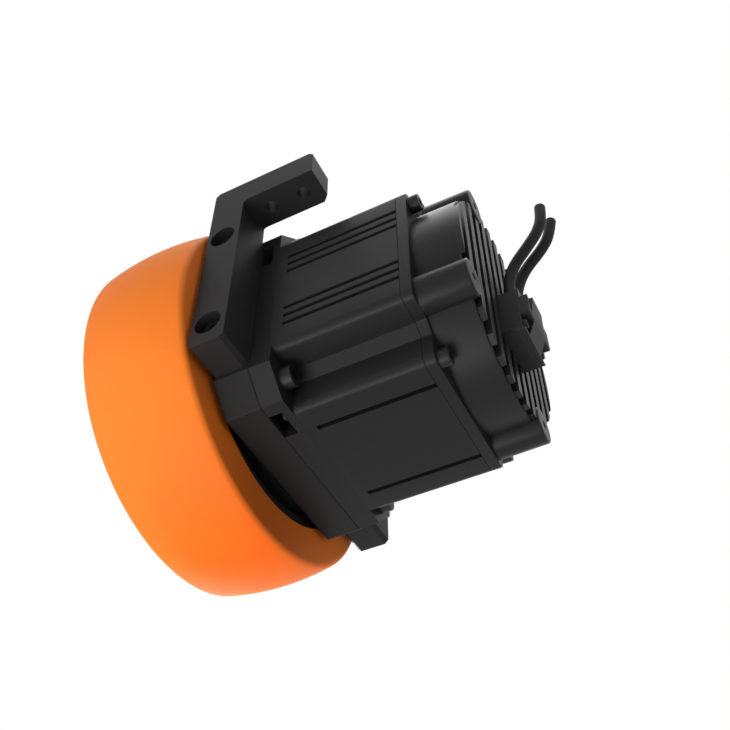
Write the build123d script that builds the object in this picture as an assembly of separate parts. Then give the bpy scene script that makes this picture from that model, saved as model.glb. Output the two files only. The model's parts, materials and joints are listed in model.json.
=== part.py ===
from build123d import *
import math
import os

# Drive wheel unit of an automated guided vehicle, in millimetres.
# Every piece is drawn about the wheel axis, which lies along y, with y = 0 on the rear face of the
# mounting plate, the wheel at negative y and the motor at positive y. The finished pieces are then
# moved once, so that the origin is the centre of the four chassis holes on top of the bracket arms.

# Clearances
SEAT = 0.03                 # radial, between a piece and the seat it is pressed or screwed into
RUNNING = 0.05              # radial, between a pin and the bore that turns on it
FREE = 0.5                  # axial, between pieces that turn past each other
SEAM = 0.35                 # small chamfer along the visible joints of the castings

# Mounting plate
PLATE_EDGE = 0.3            # how far the plate stands out past the motor on every side
PLATE_THICKNESS = 12.0
PLATE_CHAMFER = 8.8
PILOT_R = 24.0              # register of the motor in the plate
PILOT_LENGTH = 3.2

# Brackets
LEG_THICKNESS = 13.5
LEG_END = 0.9               # from the cut-off corner of the plate to the lower end of the leg
ARM_RISE = 9.4              # of the chassis faces over the plate
ARM_LENGTH = 26.1
ARM_HEIGHT = 11.3
ARM_WIDTH = 12.8
ARM_END_CHAMFER = 2.0       # along the inner upright edge at the end of the arm
BRACKET_CHAMFER = 1.4
BRACKET_FILLET = 2.0
LEG_SCREW_Z = 21.6
LEG_SCREW_INSET = 6.3       # from the rear face of the plate to the screw axis
LEG_COUNTERBORE_DEPTH = 8.0
CHASSIS_HOLE_INSET = 6.55   # from the outer face of the bracket
CHASSIS_HOLE_Y = 7.4
CHASSIS_HOLE_PITCH = 12.0
CHASSIS_HOLE_R = 2.1        # tapping drill of M5

# Screws: radius of shank, radius and height of head, across flats and depth of the hexagon socket
M5 = dict(shank_r=2.5, head_r=4.25, head_h=5.0, hex_flats=4.0, hex_depth=2.5)
M4 = dict(shank_r=2.0, head_r=3.5, head_h=4.0, hex_flats=3.0, hex_depth=2.0)
M3 = dict(shank_r=1.5, head_r=2.8, head_h=3.5, hex_flats=2.5, hex_depth=1.8)
M5_FLAT = dict(shank_r=2.5, head_r=4.7, head_h=2.2, hex_flats=3.0, hex_depth=1.5)
M4_FLAT = dict(shank_r=2.0, head_r=3.8, head_h=1.8, hex_flats=2.5, hex_depth=1.2)
HEAD_ROOM = 0.25            # radial room round a head in its counterbore
HOLE_ROOM = 0.25            # radial room round a shank in its clearance hole
THREAD_TIP = 1.5            # a blind hole is this much deeper than its screw
LEG_SCREW_LENGTH = 16.0
MOTOR_SCREW_LENGTH = 16.0
HUB_SCREW_LENGTH = 12.0

# Motor housing
MOTOR_WIDTH = 80.0
FLANGE_THICKNESS = 7.2
FLANGE_CHAMFER = 8.6
HOUSING_LENGTH = 49.2
NOTCH_SIDE = 13.6           # square screw channel at each long corner of the housing
NOTCH_CHAMFER = 3.3
NOTCH_FILLET = 2.8
MOTOR_SCREW_INSET = 8.18    # from the motor's sides: on a 90 mm circle with a motor of 80 mm
HOUSING_WALL = 6.0
FRONT_WALL = 11.0
SLOT_START = 10.6
SLOT_DEPTH = 2.4
SLOT_WIDTH = 1.6
SINGLE_SLOT_ROOM = 9.8      # from a screw channel to the one slot beside it
GROUP_SLOT_ROOM = 13.4      # from a screw channel to the middle of its group of three slots
GROUP_PITCH = 3.75
TIE_EDGE = 3.6              # from a side of the motor to a long screw of the rear cover
TIE_ROOM = 4.2              # from a screw channel to the long screw beside it
POCKET_WIDTH = 9.6
POCKET_LENGTH = 4.5
POCKET_DEPTH = 6.5

# Rear cover with its cooling fins
COVER_FLANGE = 3.6
COVER_EDGE = 1.5            # from the motor's sides to the foot of the round wall
COVER_DRAFT = 0.5           # how much narrower the round wall is at its rim
COVER_WALL = 3.6
COVER_RIM_HEIGHT = 15.9     # of the round wall over the cover's flange
COVER_RIM_FILLET = 0.8
COVER_WEB_DEPTH = 6.2       # from the cover's flange to the web under the fins
COVER_WEB = 3.5
FIN_HEIGHT = 6.5
FIN_MARGIN = 2.8            # from the middle of the last fin to the fin circle
FIN_THICKNESS = 2.2
FIN_SIDE_COUNT = 6          # fins on each side of the middle one
RIM_WALL = 1.6              # of the round wall where the fins are
BOSS_INSET = 0.2            # from the foot of the round wall to the middle of a boss
BOSS_ANGLE = 31.7
BOSS_BASE_R = 6.25
BOSS_TIP_R = 6.15
BOSS_HEIGHT = 16.4          # over the cover's flange
BOSS_HOLE_R = 1.25
BOSS_HOLE_DEPTH = 8.0

# Connector on the rear cover
PLUG_WIDTH = 18.3
PLUG_HEIGHT = 18.9
PLUG_TOP_Z = -1.6
PLUG_PAD = 5.2              # height of its pad over the floor between the fins
PLUG_BODY_HEIGHT = 6.5
PLUG_EDGE = 0.6
NECK_WIDTH = 13.0
NECK_ROOM = 0.3
LID_BASE = 1.25
LID_RIDGE = 2.5
LID_RIDGE_INSET = 4.7       # from the top face of the connector to the step of the ridge
LID_RIDGE_WIDTH = 7.4
LATCH_HEIGHT = 1.1          # wedge on the ridge, from LATCH_START with a slope at its other end
LATCH_START_X = 7.0
LATCH_WIDTH = 8.0
LATCH_SLOPE = 4.0
LID_POCKET = 4.4
LID_SCREW_R = 1.6
LID_SCREW_HEAD = 1.3
LID_SCREW_LENGTH = 6.0
CONTACT_R = 0.5
CONTACT_PITCH = 3.0
CONTACT_COUNT = 4

# Cables in planes at plus and minus CABLE_X, drawn in y over the foot of the connector and z over
# its upper side
CABLE_R = 1.9
CABLE_X = 3.5
CABLE_ENTRY_ROOM = 0.1
CABLE_ENTRY_DEPTH = 1.6
POWER_CABLE = [(3.8, -1.4), (3.7, 5.0), (4.6, 12.5), (7.0, 18.4), (12.7, 25.4), (16.6, 30.7), (19.0, 37.0),
               (19.4, 43.5)]
SIGNAL_CABLE = [(3.7, -1.4), (3.8, 5.9), (4.7, 13.4), (6.8, 19.4), (9.8, 24.1), (16.1, 30.7), (19.4, 36.9),
                (20.8, 43.5)]
CABLE_ARC_SHARE = 0.45

# Wheel
HUB_ROOM = 1.5              # radial, between the fixed gearbox body and the rim that turns round it
RIM_THICKNESS = 4.4
TREAD_THICKNESS = 14.7
TYRE_WIDTH = 36.4
TYRE_CROWN = 1.9
TYRE_GAP = 1.9              # from the front face of the plate to the tyre
TYRE_INNER_ROUND = 2.0
TYRE_OUTER_ROUND = 1.0
HUB_INSET = 1.3             # from the inner edge of the tyre to the edge of the hub
WEB_THICKNESS = 5.0
WEB_RECESS = 1.2
WEB_RECESS_IN_R = 27.0
WEB_RECESS_OUT = 1.3        # from the bore of the rim to the recess of the web
WEB_CORNER = 1.0
HUB_SCREW_CIRCLE_R = 18.5
HUB_SCREW_COUNT = 6
SPIGOT_R = 10.0
SPIGOT_LENGTH = 3.0
CAP_RIM_R = 12.5
CAP_RIM = 0.8

# Planetary gearbox: two alike stages in one ring gear
SUN_TEETH = 18
PLANET_TEETH = 18
RING_TEETH = SUN_TEETH + 2 * PLANET_TEETH
PLANETS = 3
PRESSURE_ANGLE = 20.0
BACKLASH = 0.07             # taken off each flank at the pitch circle
DEDENDUM = 1.25
GEARBOX_EDGE = 0.5          # how far the gearbox body stands out past the plate's sides
RING_WALL = 8.4             # of the gearbox body, outside the pitch circle of its teeth
PIN_SPACE = 2.5             # between the plate and the first stage's planets
STAGE_1_WIDTH = 6.5
STAGE_2_WIDTH = 8.0
CARRIER_THICKNESS = 3.0
CARRIER_EDGE = 1.7          # of a carrier outside its pins
PIN_R = 4.0
WASHER_R = 6.2
WASHER_THICKNESS = 0.8
SHANK_R = 7.0
SUN_BORE_R = 5.8
OUTPUT_FLANGE = 3.5
BEARING_STEP = 2.3          # height of the carrier's shoulder in front of the output bearing
BEARING_SHOULDER = 3.0      # height of the housing's shoulder behind it
OUTPUT_BEARING_SPACE = 7.5  # radial space between bore and outside
OUTPUT_BEARING_WIDTH = 7.0
GEARBOX_SCREW_COUNT = 8
GEARBOX_SCREW_GRIP = 8.0    # thread of the gearbox screws in the output housing

# Bearings of the motor: bore radius, radial space between bore and outside, width
FRONT_BEARING = dict(bore_r=7.5, space=8.5, width=9.0)
REAR_BEARING = dict(bore_r=5.0, space=8.0, width=8.0)
RING_SHARE = 0.3            # thickness of a bearing ring as a share of the radial space
SHIELD_INSET = 0.4
SHIELD_THICKNESS = 0.6
SHIELD_GAP = 0.3

# Motor inside
STATOR_TEETH = 12
STATOR_YOKE = 3.6
STATOR_TOOTH = 4.6
TOOTH_TIP = 1.4
TOOTH_TIP_GAP = 2.4
AIR_GAP = 0.6
STATOR_DEPTH = 13.0         # radial, from the housing's bore to the rotor
MAGNET_THICKNESS = 2.4
MAGNET_COUNT = 10
MAGNET_SPACE_DEG = 4.0
COIL_OVERHANG = 3.4
COIL_GAP = 0.6
SUN_SEAT_R = 6.5
SHOULDER = 1.2
SHIELD_PLATE = 4.2
SHIELD_BOSS_R = 17.0
SHIELD_LIP = 1.5
ENCODER_MAGNET_R = 3.0
ENCODER_MAGNET_LENGTH = 2.5
ENCODER_GAP = 0.8
SEAL_R = 13.0
SEAL_THICKNESS = 4.0

# Electronics
BOARD_THICKNESS = 1.6
BOARD_ROOM = 2.4            # radial, from the board to the wall of the cover
THERMAL_PAD = 0.3
TRANSISTOR_LENGTH = 9.0
TRANSISTOR_WIDTH = 6.5
TRANSISTOR_COUNT = 6
TRANSISTOR_INSET = 8.0      # from the edge of the board
TRANSISTOR_START = 30.0     # degrees
CAPACITOR_R = 3.2
CAPACITOR_LENGTH = 4.5
CAPACITOR_COUNT = 4
CAPACITOR_INSET = 7.0
CAPACITOR_START = 45.0      # degrees
ENCODER_CHIP_SIDE = 5.0
ENCODER_CHIP_HEIGHT = 1.0
SPACER_R = 2.2
SPACER_INSET = 3.0
SPACER_COUNT = 3

# Places worked out from the sizes above
MOTOR_SIDE = MOTOR_WIDTH / 2
PLATE_SIDE = MOTOR_SIDE + PLATE_EDGE
PLATE_FRONT_Y = -PLATE_THICKNESS
LEG_BELOW_AXIS = PLATE_SIDE - PLATE_CHAMFER - LEG_END
BRACKET_TOP = PLATE_SIDE + ARM_RISE
BRACKET_OUTER_X = PLATE_SIDE + LEG_THICKNESS
LEG_SEAT_X = BRACKET_OUTER_X - LEG_COUNTERBORE_DEPTH
ARM_UNDER_Z = BRACKET_TOP - ARM_HEIGHT
CHASSIS_HOLE_X = BRACKET_OUTER_X - CHASSIS_HOLE_INSET
NOTCH_INNER = MOTOR_SIDE - NOTCH_SIDE
MOTOR_SCREW_OFFSET = MOTOR_SIDE - MOTOR_SCREW_INSET
HOUSING_BORE_R = MOTOR_SIDE - HOUSING_WALL
SINGLE_SLOT = NOTCH_INNER - SINGLE_SLOT_ROOM
GROUP_SLOT = NOTCH_INNER - GROUP_SLOT_ROOM
TIE_X = MOTOR_SIDE - TIE_EDGE
TIE_Z = NOTCH_INNER - TIE_ROOM
COVER_R = MOTOR_SIDE - COVER_EDGE
COVER_RIM_R = COVER_R - COVER_DRAFT
FIN_CIRCLE_R = COVER_RIM_R - RIM_WALL
FIN_PITCH = (FIN_CIRCLE_R - FIN_MARGIN) / FIN_SIDE_COUNT
BOSS_CIRCLE_R = COVER_R - BOSS_INSET
COVER_FACE_Y = HOUSING_LENGTH + COVER_FLANGE
COVER_RIM_Y = COVER_FACE_Y + COVER_RIM_HEIGHT
COVER_WEB_Y = COVER_FACE_Y + COVER_WEB_DEPTH
FIN_FLOOR_Y = COVER_WEB_Y + COVER_WEB
FIN_TOP_Y = FIN_FLOOR_Y + FIN_HEIGHT
BOSS_TIP_Y = COVER_FACE_Y + BOSS_HEIGHT
PLUG_FACE_Y = FIN_FLOOR_Y + PLUG_PAD
LID_FACE_Y = PLUG_FACE_Y + PLUG_BODY_HEIGHT
LID_TOP_Y = LID_FACE_Y + LID_BASE
PLUG_MID_Z = PLUG_TOP_Z - PLUG_HEIGHT / 2
PLUG_BOTTOM_Z = PLUG_TOP_Z - PLUG_HEIGHT
RIDGE_TOP_Z = PLUG_TOP_Z - LID_RIDGE_INSET
RIDGE_END_Z = RIDGE_TOP_Z - LID_RIDGE_WIDTH

GEARBOX_R = PLATE_SIDE + GEARBOX_EDGE
RING_PITCH_R = GEARBOX_R - RING_WALL
MODULE = 2 * RING_PITCH_R / RING_TEETH
RING_ROOT_R = RING_PITCH_R + DEDENDUM * MODULE
ORBIT_R = MODULE * (SUN_TEETH + PLANET_TEETH) / 2
CARRIER_R = ORBIT_R + PIN_R + CARRIER_EDGE
OUTPUT_BEARING = dict(bore_r=CARRIER_R - BEARING_STEP, space=OUTPUT_BEARING_SPACE,
                      width=OUTPUT_BEARING_WIDTH)
GEARBOX_SCREW_CIRCLE_R = (RING_ROOT_R + GEARBOX_R) / 2
HUB_BORE_R = GEARBOX_R + HUB_ROOM
HUB_R = HUB_BORE_R + RIM_THICKNESS
TYRE_R = HUB_R + TREAD_THICKNESS
WEB_RECESS_OUT_R = HUB_BORE_R - WEB_RECESS_OUT
PLANET_1_Y = PLATE_FRONT_Y - PIN_SPACE - STAGE_1_WIDTH
CARRIER_Y = PLANET_1_Y - FREE - CARRIER_THICKNESS
PLANET_2_Y = CARRIER_Y - FREE - STAGE_2_WIDTH
OUTPUT_FACE_Y = PLANET_2_Y - FREE
RING_END_Y = OUTPUT_FACE_Y - FREE
OUTPUT_BEARING_Y = OUTPUT_FACE_Y - OUTPUT_FLANGE - OUTPUT_BEARING["width"]
WEB_INNER_Y = OUTPUT_BEARING_Y - FREE
WEB_OUTER_Y = WEB_INNER_Y - WEB_THICKNESS
TYRE_INNER_Y = PLATE_FRONT_Y - TYRE_GAP
TYRE_OUTER_Y = TYRE_INNER_Y - TYRE_WIDTH
HUB_INNER_Y = TYRE_INNER_Y - HUB_INSET

FRONT_BEARING_Y = FRONT_WALL - FRONT_BEARING["width"]
SHIELD_Y = HOUSING_LENGTH - SHIELD_PLATE
REAR_BEARING_Y = HOUSING_LENGTH - REAR_BEARING["width"]
STATOR_START = FRONT_WALL + FREE + COIL_OVERHANG
STATOR_END = REAR_BEARING_Y - SHIELD_LIP - FREE
ROTOR_R = HOUSING_BORE_R - STATOR_DEPTH
STATOR_BORE_R = ROTOR_R + AIR_GAP
STATOR_R = HOUSING_BORE_R - SEAT
STATOR_ROOT_R = STATOR_R - STATOR_YOKE
ROTOR_CORE_R = ROTOR_R - MAGNET_THICKNESS
ENCODER_MAGNET_Y = HOUSING_LENGTH + FREE
ENCODER_CHIP_Y = ENCODER_MAGNET_Y + ENCODER_MAGNET_LENGTH + ENCODER_GAP
BOARD_Y = ENCODER_CHIP_Y + ENCODER_CHIP_HEIGHT
BOARD_TOP_Y = BOARD_Y + BOARD_THICKNESS
BOARD_R = COVER_R - COVER_WALL - BOARD_ROOM
TRANSISTOR_CIRCLE_R = BOARD_R - TRANSISTOR_INSET
CAPACITOR_CIRCLE_R = BOARD_R - CAPACITOR_INSET
SPACER_CIRCLE_R = BOARD_R - SPACER_INSET

ORIGIN = (0, CHASSIS_HOLE_Y + CHASSIS_HOLE_PITCH / 2, BRACKET_TOP)


# Shapes used by several pieces

def prism(sketch, y0, y1):
    """A sketch in x and z, drawn out along the axis from y0 to y1."""
    return extrude(Plane.XZ.offset(-y0) * sketch, amount=-(y1 - y0))


def rod(radius, y0, y1, x=0.0, z=0.0):
    """A cylinder parallel to the axis."""
    return prism(Pos(x, z) * Circle(radius), y0, y1)


def ring(inner_r, outer_r, y0, y1):
    """A plain ring round the axis."""
    return prism(Circle(outer_r) - Circle(inner_r), y0, y1)


def turned(points):
    """A solid of revolution from points of radius and y."""
    return revolve(make_face(Polyline(*points, close=True)), axis=Axis.Y)


def block(x0, x1, y0, y1, z0, z1):
    """A box between two corners."""
    return Pos((x0 + x1) / 2, (y0 + y1) / 2, (z0 + z1) / 2) * Box(x1 - x0, y1 - y0, z1 - z0)


def around(shape, count, start=0.0):
    """Equal copies of a shape round the wheel axis."""
    return [Rot(0, start + 360.0 * i / count, 0) * shape for i in range(count)]


def rear_circle(shape):
    """The round edge at the rear end of a turned piece."""
    return shape.edges().filter_by(GeomType.CIRCLE).sort_by(Axis.Y)[-1]


def outside(bearing):
    """Outer radius of a bearing."""
    return bearing["bore_r"] + bearing["space"]


# Screws lie along y with the underside of the head, or the face of a flat head, at y = 0

def socket_screw(size, length):
    """Cap screw with a hexagon socket."""
    head = rod(size["head_r"], 0, size["head_h"])
    head = chamfer(rear_circle(head), size["head_h"] * 0.08)
    hexagon = RegularPolygon(size["hex_flats"] / 2, 6, major_radius=False)
    head -= prism(hexagon, size["head_h"] - size["hex_depth"], size["head_h"] + 1)
    return head + rod(size["shank_r"], -length, 0)


def flat_screw(size, length):
    """Countersunk screw with a hexagon socket."""
    body = turned([(0, 0), (size["head_r"], 0), (size["shank_r"], -size["head_h"]),
                   (size["shank_r"], -length), (0, -length)])
    hexagon = RegularPolygon(size["hex_flats"] / 2, 6, major_radius=False)
    return body - prism(hexagon, -size["hex_depth"], 1)


def countersink(size, depth):
    """Hole for a countersunk screw."""
    head_r = size["head_r"] + SEAT
    hole_r = size["shank_r"] + SEAT
    return turned([(0, 1), (head_r, 1), (head_r, 0), (hole_r, -size["head_h"]), (hole_r, -depth),
                   (0, -depth)])


# Gears

def involute(angle):
    """Involute function of an angle in radians."""
    return math.tan(angle) - angle


def half_angle(radius, teeth, thinning):
    """Half the angle of a tooth at a radius; inside the base circle its flank is radial."""
    pressure = math.radians(PRESSURE_ANGLE)
    pitch_r = MODULE * teeth / 2
    local = math.acos(min(1.0, pitch_r * math.cos(pressure) / radius))
    return math.pi / (2 * teeth) - thinning / pitch_r + involute(pressure) - involute(local)


def toothed_outline(teeth, root_r, tip_r, thinning, phase):
    """Closed outline whose flanks are drawn through root, pitch circle and tip."""
    flank = [(r, half_angle(r, teeth, thinning)) for r in (root_r, MODULE * teeth / 2, tip_r)]
    points = []
    for i in range(teeth):
        centre = math.radians(phase + 360.0 * i / teeth)
        rising = [(r, centre - angle) for r, angle in flank]
        falling = [(r, centre + angle) for r, angle in reversed(flank)]
        points += [(r * math.cos(a), r * math.sin(a)) for r, a in rising + falling]
    return make_face(Polyline(*points, close=True))


def gear_face(teeth, bore_r, phase=0.0):
    """Face of a spur gear with its bore; at phase 0 a tooth is centred on the x axis."""
    pitch_r = MODULE * teeth / 2
    face = toothed_outline(teeth, pitch_r - DEDENDUM * MODULE, pitch_r + MODULE, BACKLASH, phase)
    return face - Circle(bore_r)


def planets(y0, width):
    """The planets of one stage, each with a tooth towards the ring gear."""
    gear = prism(gear_face(PLANET_TEETH, PIN_R + RUNNING), y0, y0 + width)
    return around(Pos(ORBIT_R, 0, 0) * gear, PLANETS)


def sun_phase():
    """Turn of a sun gear that brings it into mesh with a planet on the x axis."""
    odd_planet = PLANET_TEETH % 2 == 1
    return 0.0 if odd_planet else 180.0 / SUN_TEETH


def planet_pins(y0, y1):
    """Pins that carry the planets of one stage."""
    pin = rod(PIN_R, y0, y1, ORBIT_R)
    return around(chamfer(pin.edges().filter_by(GeomType.CIRCLE), PIN_R * 0.1), PLANETS)


def pin_holes(y0, y1):
    """Seats of the planet pins in a carrier."""
    return around(rod(PIN_R + SEAT, y0, y1, ORBIT_R), PLANETS)


# Bearings

def bearing_outer(size, y0):
    """Outer ring of a ball bearing with its two shields."""
    outer = outside(size)
    inner = outer - RING_SHARE * size["space"]
    lip = size["bore_r"] + RING_SHARE * size["space"] + SHIELD_GAP
    y1 = y0 + size["width"]
    y2 = y0 + SHIELD_INSET
    y3 = y1 - SHIELD_INSET
    return turned([(outer, y0), (outer, y1), (inner, y1), (inner, y3), (lip, y3),
                   (lip, y3 - SHIELD_THICKNESS), (inner, y3 - SHIELD_THICKNESS),
                   (inner, y2 + SHIELD_THICKNESS), (lip, y2 + SHIELD_THICKNESS), (lip, y2), (inner, y2),
                   (inner, y0)])


def bearing_inner(size, y0):
    """Inner ring of a ball bearing."""
    return ring(size["bore_r"], size["bore_r"] + RING_SHARE * size["space"], y0, y0 + size["width"])


# Mounting plate and brackets

def motor_screw_places():
    """Corners of the plate where the motor is screwed on."""
    return [(sx * MOTOR_SCREW_OFFSET, sz * MOTOR_SCREW_OFFSET) for sx in (1, -1) for sz in (1, -1)]


def gearbox_screw_holes(y0, y1, radius):
    """Round holes of the gearbox screws."""
    hole = rod(radius, y0, y1, GEARBOX_SCREW_CIRCLE_R)
    return around(hole, GEARBOX_SCREW_COUNT, 180.0 / GEARBOX_SCREW_COUNT)


def make_plate():
    """Square plate that joins motor, gearbox and brackets."""
    plate = prism(chamfer(Rectangle(2 * PLATE_SIDE, 2 * PLATE_SIDE).vertices(), PLATE_CHAMFER), PLATE_FRONT_Y, 0)
    plate = chamfer(plate.faces().sort_by(Axis.Y)[-1].edges(), SEAM)
    plate -= rod(PILOT_R, -PILOT_LENGTH - FREE, 1)
    plate -= rod(SEAL_R + SEAT, PLATE_FRONT_Y - 1, 1)
    for x, z in motor_screw_places():
        plate -= rod(M4["shank_r"] + SEAT, PLATE_FRONT_Y - 1, 1, x, z)
    hole = Pos(GEARBOX_SCREW_CIRCLE_R, 0, 0) * countersink(M4_FLAT, PLATE_THICKNESS + 1)
    plate -= around(hole, GEARBOX_SCREW_COUNT, 180.0 / GEARBOX_SCREW_COUNT)
    depth = LEG_SCREW_LENGTH - (LEG_SEAT_X - PLATE_SIDE) + THREAD_TIP
    for side in (1, -1):
        for z in (LEG_SCREW_Z, -LEG_SCREW_Z):
            hole = Rot(0, 90, 0) * Cylinder(M5["shank_r"] + SEAT, 2 * depth)
            plate -= Pos(side * PLATE_SIDE, -LEG_SCREW_INSET, z) * hole
    return plate


def bracket_profile():
    """Side view of a bracket in y and z: a leg beside the plate and an arm to the rear."""
    points = [(PLATE_FRONT_Y, -LEG_BELOW_AXIS), (0, -LEG_BELOW_AXIS), (0, ARM_UNDER_Z),
              (ARM_LENGTH, ARM_UNDER_Z), (ARM_LENGTH, BRACKET_TOP), (PLATE_FRONT_Y, BRACKET_TOP)]
    face = make_face(Polyline(*points, close=True))
    inner = face.vertices().sort_by_distance((0, ARM_UNDER_Z))[0]
    face = fillet(inner, BRACKET_FILLET)
    ends = [points[0], points[1], points[4], points[5]]
    corners = [face.vertices().sort_by_distance(end)[0] for end in ends]
    return chamfer(corners, BRACKET_CHAMFER)


def make_bracket():
    """Right bracket, with counterbored holes in the leg and tapped holes through the arm."""
    bracket = extrude(Plane.YZ.offset(PLATE_SIDE) * bracket_profile(), amount=LEG_THICKNESS)
    bracket -= block(0, BRACKET_OUTER_X - ARM_WIDTH, 0, ARM_LENGTH + 1, -BRACKET_TOP, BRACKET_TOP + 1)
    end = bracket.faces().sort_by(Axis.Y)[-1]
    bracket = chamfer(end.edges().filter_by(Axis.Z).sort_by(Axis.X)[0], ARM_END_CHAMFER)
    shank = Rot(0, 90, 0) * Cylinder(M5["shank_r"] + HOLE_ROOM, 3 * LEG_THICKNESS)
    head = Rot(0, 90, 0) * Cylinder(M5["head_r"] + HEAD_ROOM, 2 * LEG_COUNTERBORE_DEPTH)
    for z in (LEG_SCREW_Z, -LEG_SCREW_Z):
        bracket -= Pos(BRACKET_OUTER_X, -LEG_SCREW_INSET, z) * (shank + head)
    for y in (CHASSIS_HOLE_Y, CHASSIS_HOLE_Y + CHASSIS_HOLE_PITCH):
        bracket -= Pos(CHASSIS_HOLE_X, y, BRACKET_TOP) * Cylinder(CHASSIS_HOLE_R, 3 * ARM_HEIGHT)
    return bracket


def make_bracket_screws():
    """Cap screws that hold both brackets to the plate."""
    screw = socket_screw(M5, LEG_SCREW_LENGTH)
    return [Pos(side * LEG_SEAT_X, -LEG_SCREW_INSET, z) * Rot(0, 0, -90 * side) * screw
            for side in (1, -1) for z in (LEG_SCREW_Z, -LEG_SCREW_Z)]


# Motor

def housing_outline():
    """Square with a screw channel at each corner, its outer edges rounded and inner ones bevelled."""
    outline = Rectangle(MOTOR_WIDTH, MOTOR_WIDTH)
    for sx in (1, -1):
        for sz in (1, -1):
            notch = Rectangle(2 * NOTCH_SIDE, 2 * NOTCH_SIDE)
            outline -= Pos(sx * MOTOR_SIDE, sz * MOTOR_SIDE) * notch
    outer = [v for v in outline.vertices() if max(abs(v.X), abs(v.Y)) > MOTOR_SIDE - 0.01]
    outline = fillet(outer, NOTCH_FILLET)
    inner = [v for v in outline.vertices() if max(abs(v.X), abs(v.Y)) < NOTCH_INNER + 0.01]
    return chamfer(inner, NOTCH_CHAMFER)


def tie_holes(radius, y0, y1):
    """Holes for the four long screws of the rear cover."""
    return around(rod(radius, y0, y1, TIE_X, TIE_Z), 4)


def side_slots(grouped):
    """Grooves along the side of the housing that faces positive x."""
    places = [SINGLE_SLOT, -SINGLE_SLOT]
    if grouped:
        places = [side * GROUP_SLOT + step * GROUP_PITCH for side in (1, -1) for step in (-1, 0, 1)]
    return [block(MOTOR_SIDE - SLOT_DEPTH, MOTOR_SIDE + 1, SLOT_START, HOUSING_LENGTH + 1,
                  z - SLOT_WIDTH / 2, z + SLOT_WIDTH / 2) for z in places]


def make_motor_housing():
    """Front flange and body in one casting, with pilot, bearing seat, slots and screw pockets."""
    flange = prism(chamfer(Rectangle(MOTOR_WIDTH, MOTOR_WIDTH).vertices(), FLANGE_CHAMFER), 0,
                   FLANGE_THICKNESS)
    flange = chamfer(flange.faces().sort_by(Axis.Y)[0].edges(), SEAM)
    body = prism(housing_outline(), FLANGE_THICKNESS, HOUSING_LENGTH)
    body = chamfer(body.faces().sort_by(Axis.Y)[-1].edges(), SEAM)
    housing = flange + body + rod(PILOT_R - SEAT, -PILOT_LENGTH, 1)
    housing -= rod(HOUSING_BORE_R, FRONT_WALL, HOUSING_LENGTH + 1)
    housing -= rod(outside(FRONT_BEARING) + SEAT, FRONT_BEARING_Y, FRONT_WALL + 1)
    housing -= rod(SEAL_R, -PILOT_LENGTH - 1, FRONT_BEARING_Y)
    pocket = block(MOTOR_SIDE - POCKET_DEPTH, MOTOR_SIDE + 1, -1, POCKET_LENGTH,
                   TIE_Z - POCKET_WIDTH / 2, TIE_Z + POCKET_WIDTH / 2)
    housing -= around(pocket, 4)
    for side in range(4):
        turn = Rot(0, 90 * side, 0)
        housing -= [turn * slot for slot in side_slots(grouped=side % 2 == 0)]
    housing -= tie_holes(M3["shank_r"] + SEAT, 0, HOUSING_LENGTH + 1)
    for x, z in motor_screw_places():
        housing -= rod(M4["shank_r"] + HOLE_ROOM, -1, FLANGE_THICKNESS + 1, x, z)
    return housing


def make_end_shield():
    """Disc that carries the rear bearing and closes the stator space."""
    bearing_r = outside(REAR_BEARING)
    y0 = REAR_BEARING_Y - SHIELD_LIP
    return turned([(HOUSING_BORE_R - SEAT, SHIELD_Y), (HOUSING_BORE_R - SEAT, HOUSING_LENGTH),
                   (bearing_r + SEAT, HOUSING_LENGTH), (bearing_r + SEAT, REAR_BEARING_Y),
                   (bearing_r - SHIELD_LIP, REAR_BEARING_Y), (bearing_r - SHIELD_LIP, y0),
                   (SHIELD_BOSS_R, y0), (SHIELD_BOSS_R, SHIELD_Y)])


def make_stator_core():
    """Laminated ring with its teeth."""
    core = Circle(STATOR_R) - Circle(STATOR_ROOT_R)
    pitch = 360.0 / STATOR_TEETH
    reach = STATOR_ROOT_R + STATOR_YOKE / 2
    tip_width = 2 * STATOR_BORE_R * math.tan(math.radians(pitch / 2)) - TOOTH_TIP_GAP
    stem = Pos((STATOR_BORE_R + reach) / 2, 0) * Rectangle(reach - STATOR_BORE_R, STATOR_TOOTH)
    tip = Pos(STATOR_BORE_R + TOOTH_TIP / 2, 0) * Rectangle(TOOTH_TIP, tip_width)
    for i in range(STATOR_TEETH):
        core += Rot(0, 0, pitch * i) * (stem + tip)
    return prism(core - Circle(STATOR_BORE_R), STATOR_START, STATOR_END)


def make_stator_coils():
    """One coil round each stator tooth."""
    x0 = STATOR_BORE_R + TOOTH_TIP + COIL_GAP
    outer = x0 * math.tan(math.pi / STATOR_TEETH) - COIL_GAP / 2
    x1 = math.sqrt(STATOR_ROOT_R ** 2 - outer ** 2) - COIL_GAP / 2
    inner = STATOR_TOOTH / 2 + SEAT
    coil = block(x0, x1, STATOR_START - COIL_OVERHANG, STATOR_END + COIL_OVERHANG, -outer, outer)
    coil = chamfer(coil.edges().filter_by(Axis.X), (outer - inner) * 0.6)
    coil -= block(x0 - 1, x1 + 1, STATOR_START - SEAT, STATOR_END + SEAT, -inner, inner)
    return around(coil, STATOR_TEETH)


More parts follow.
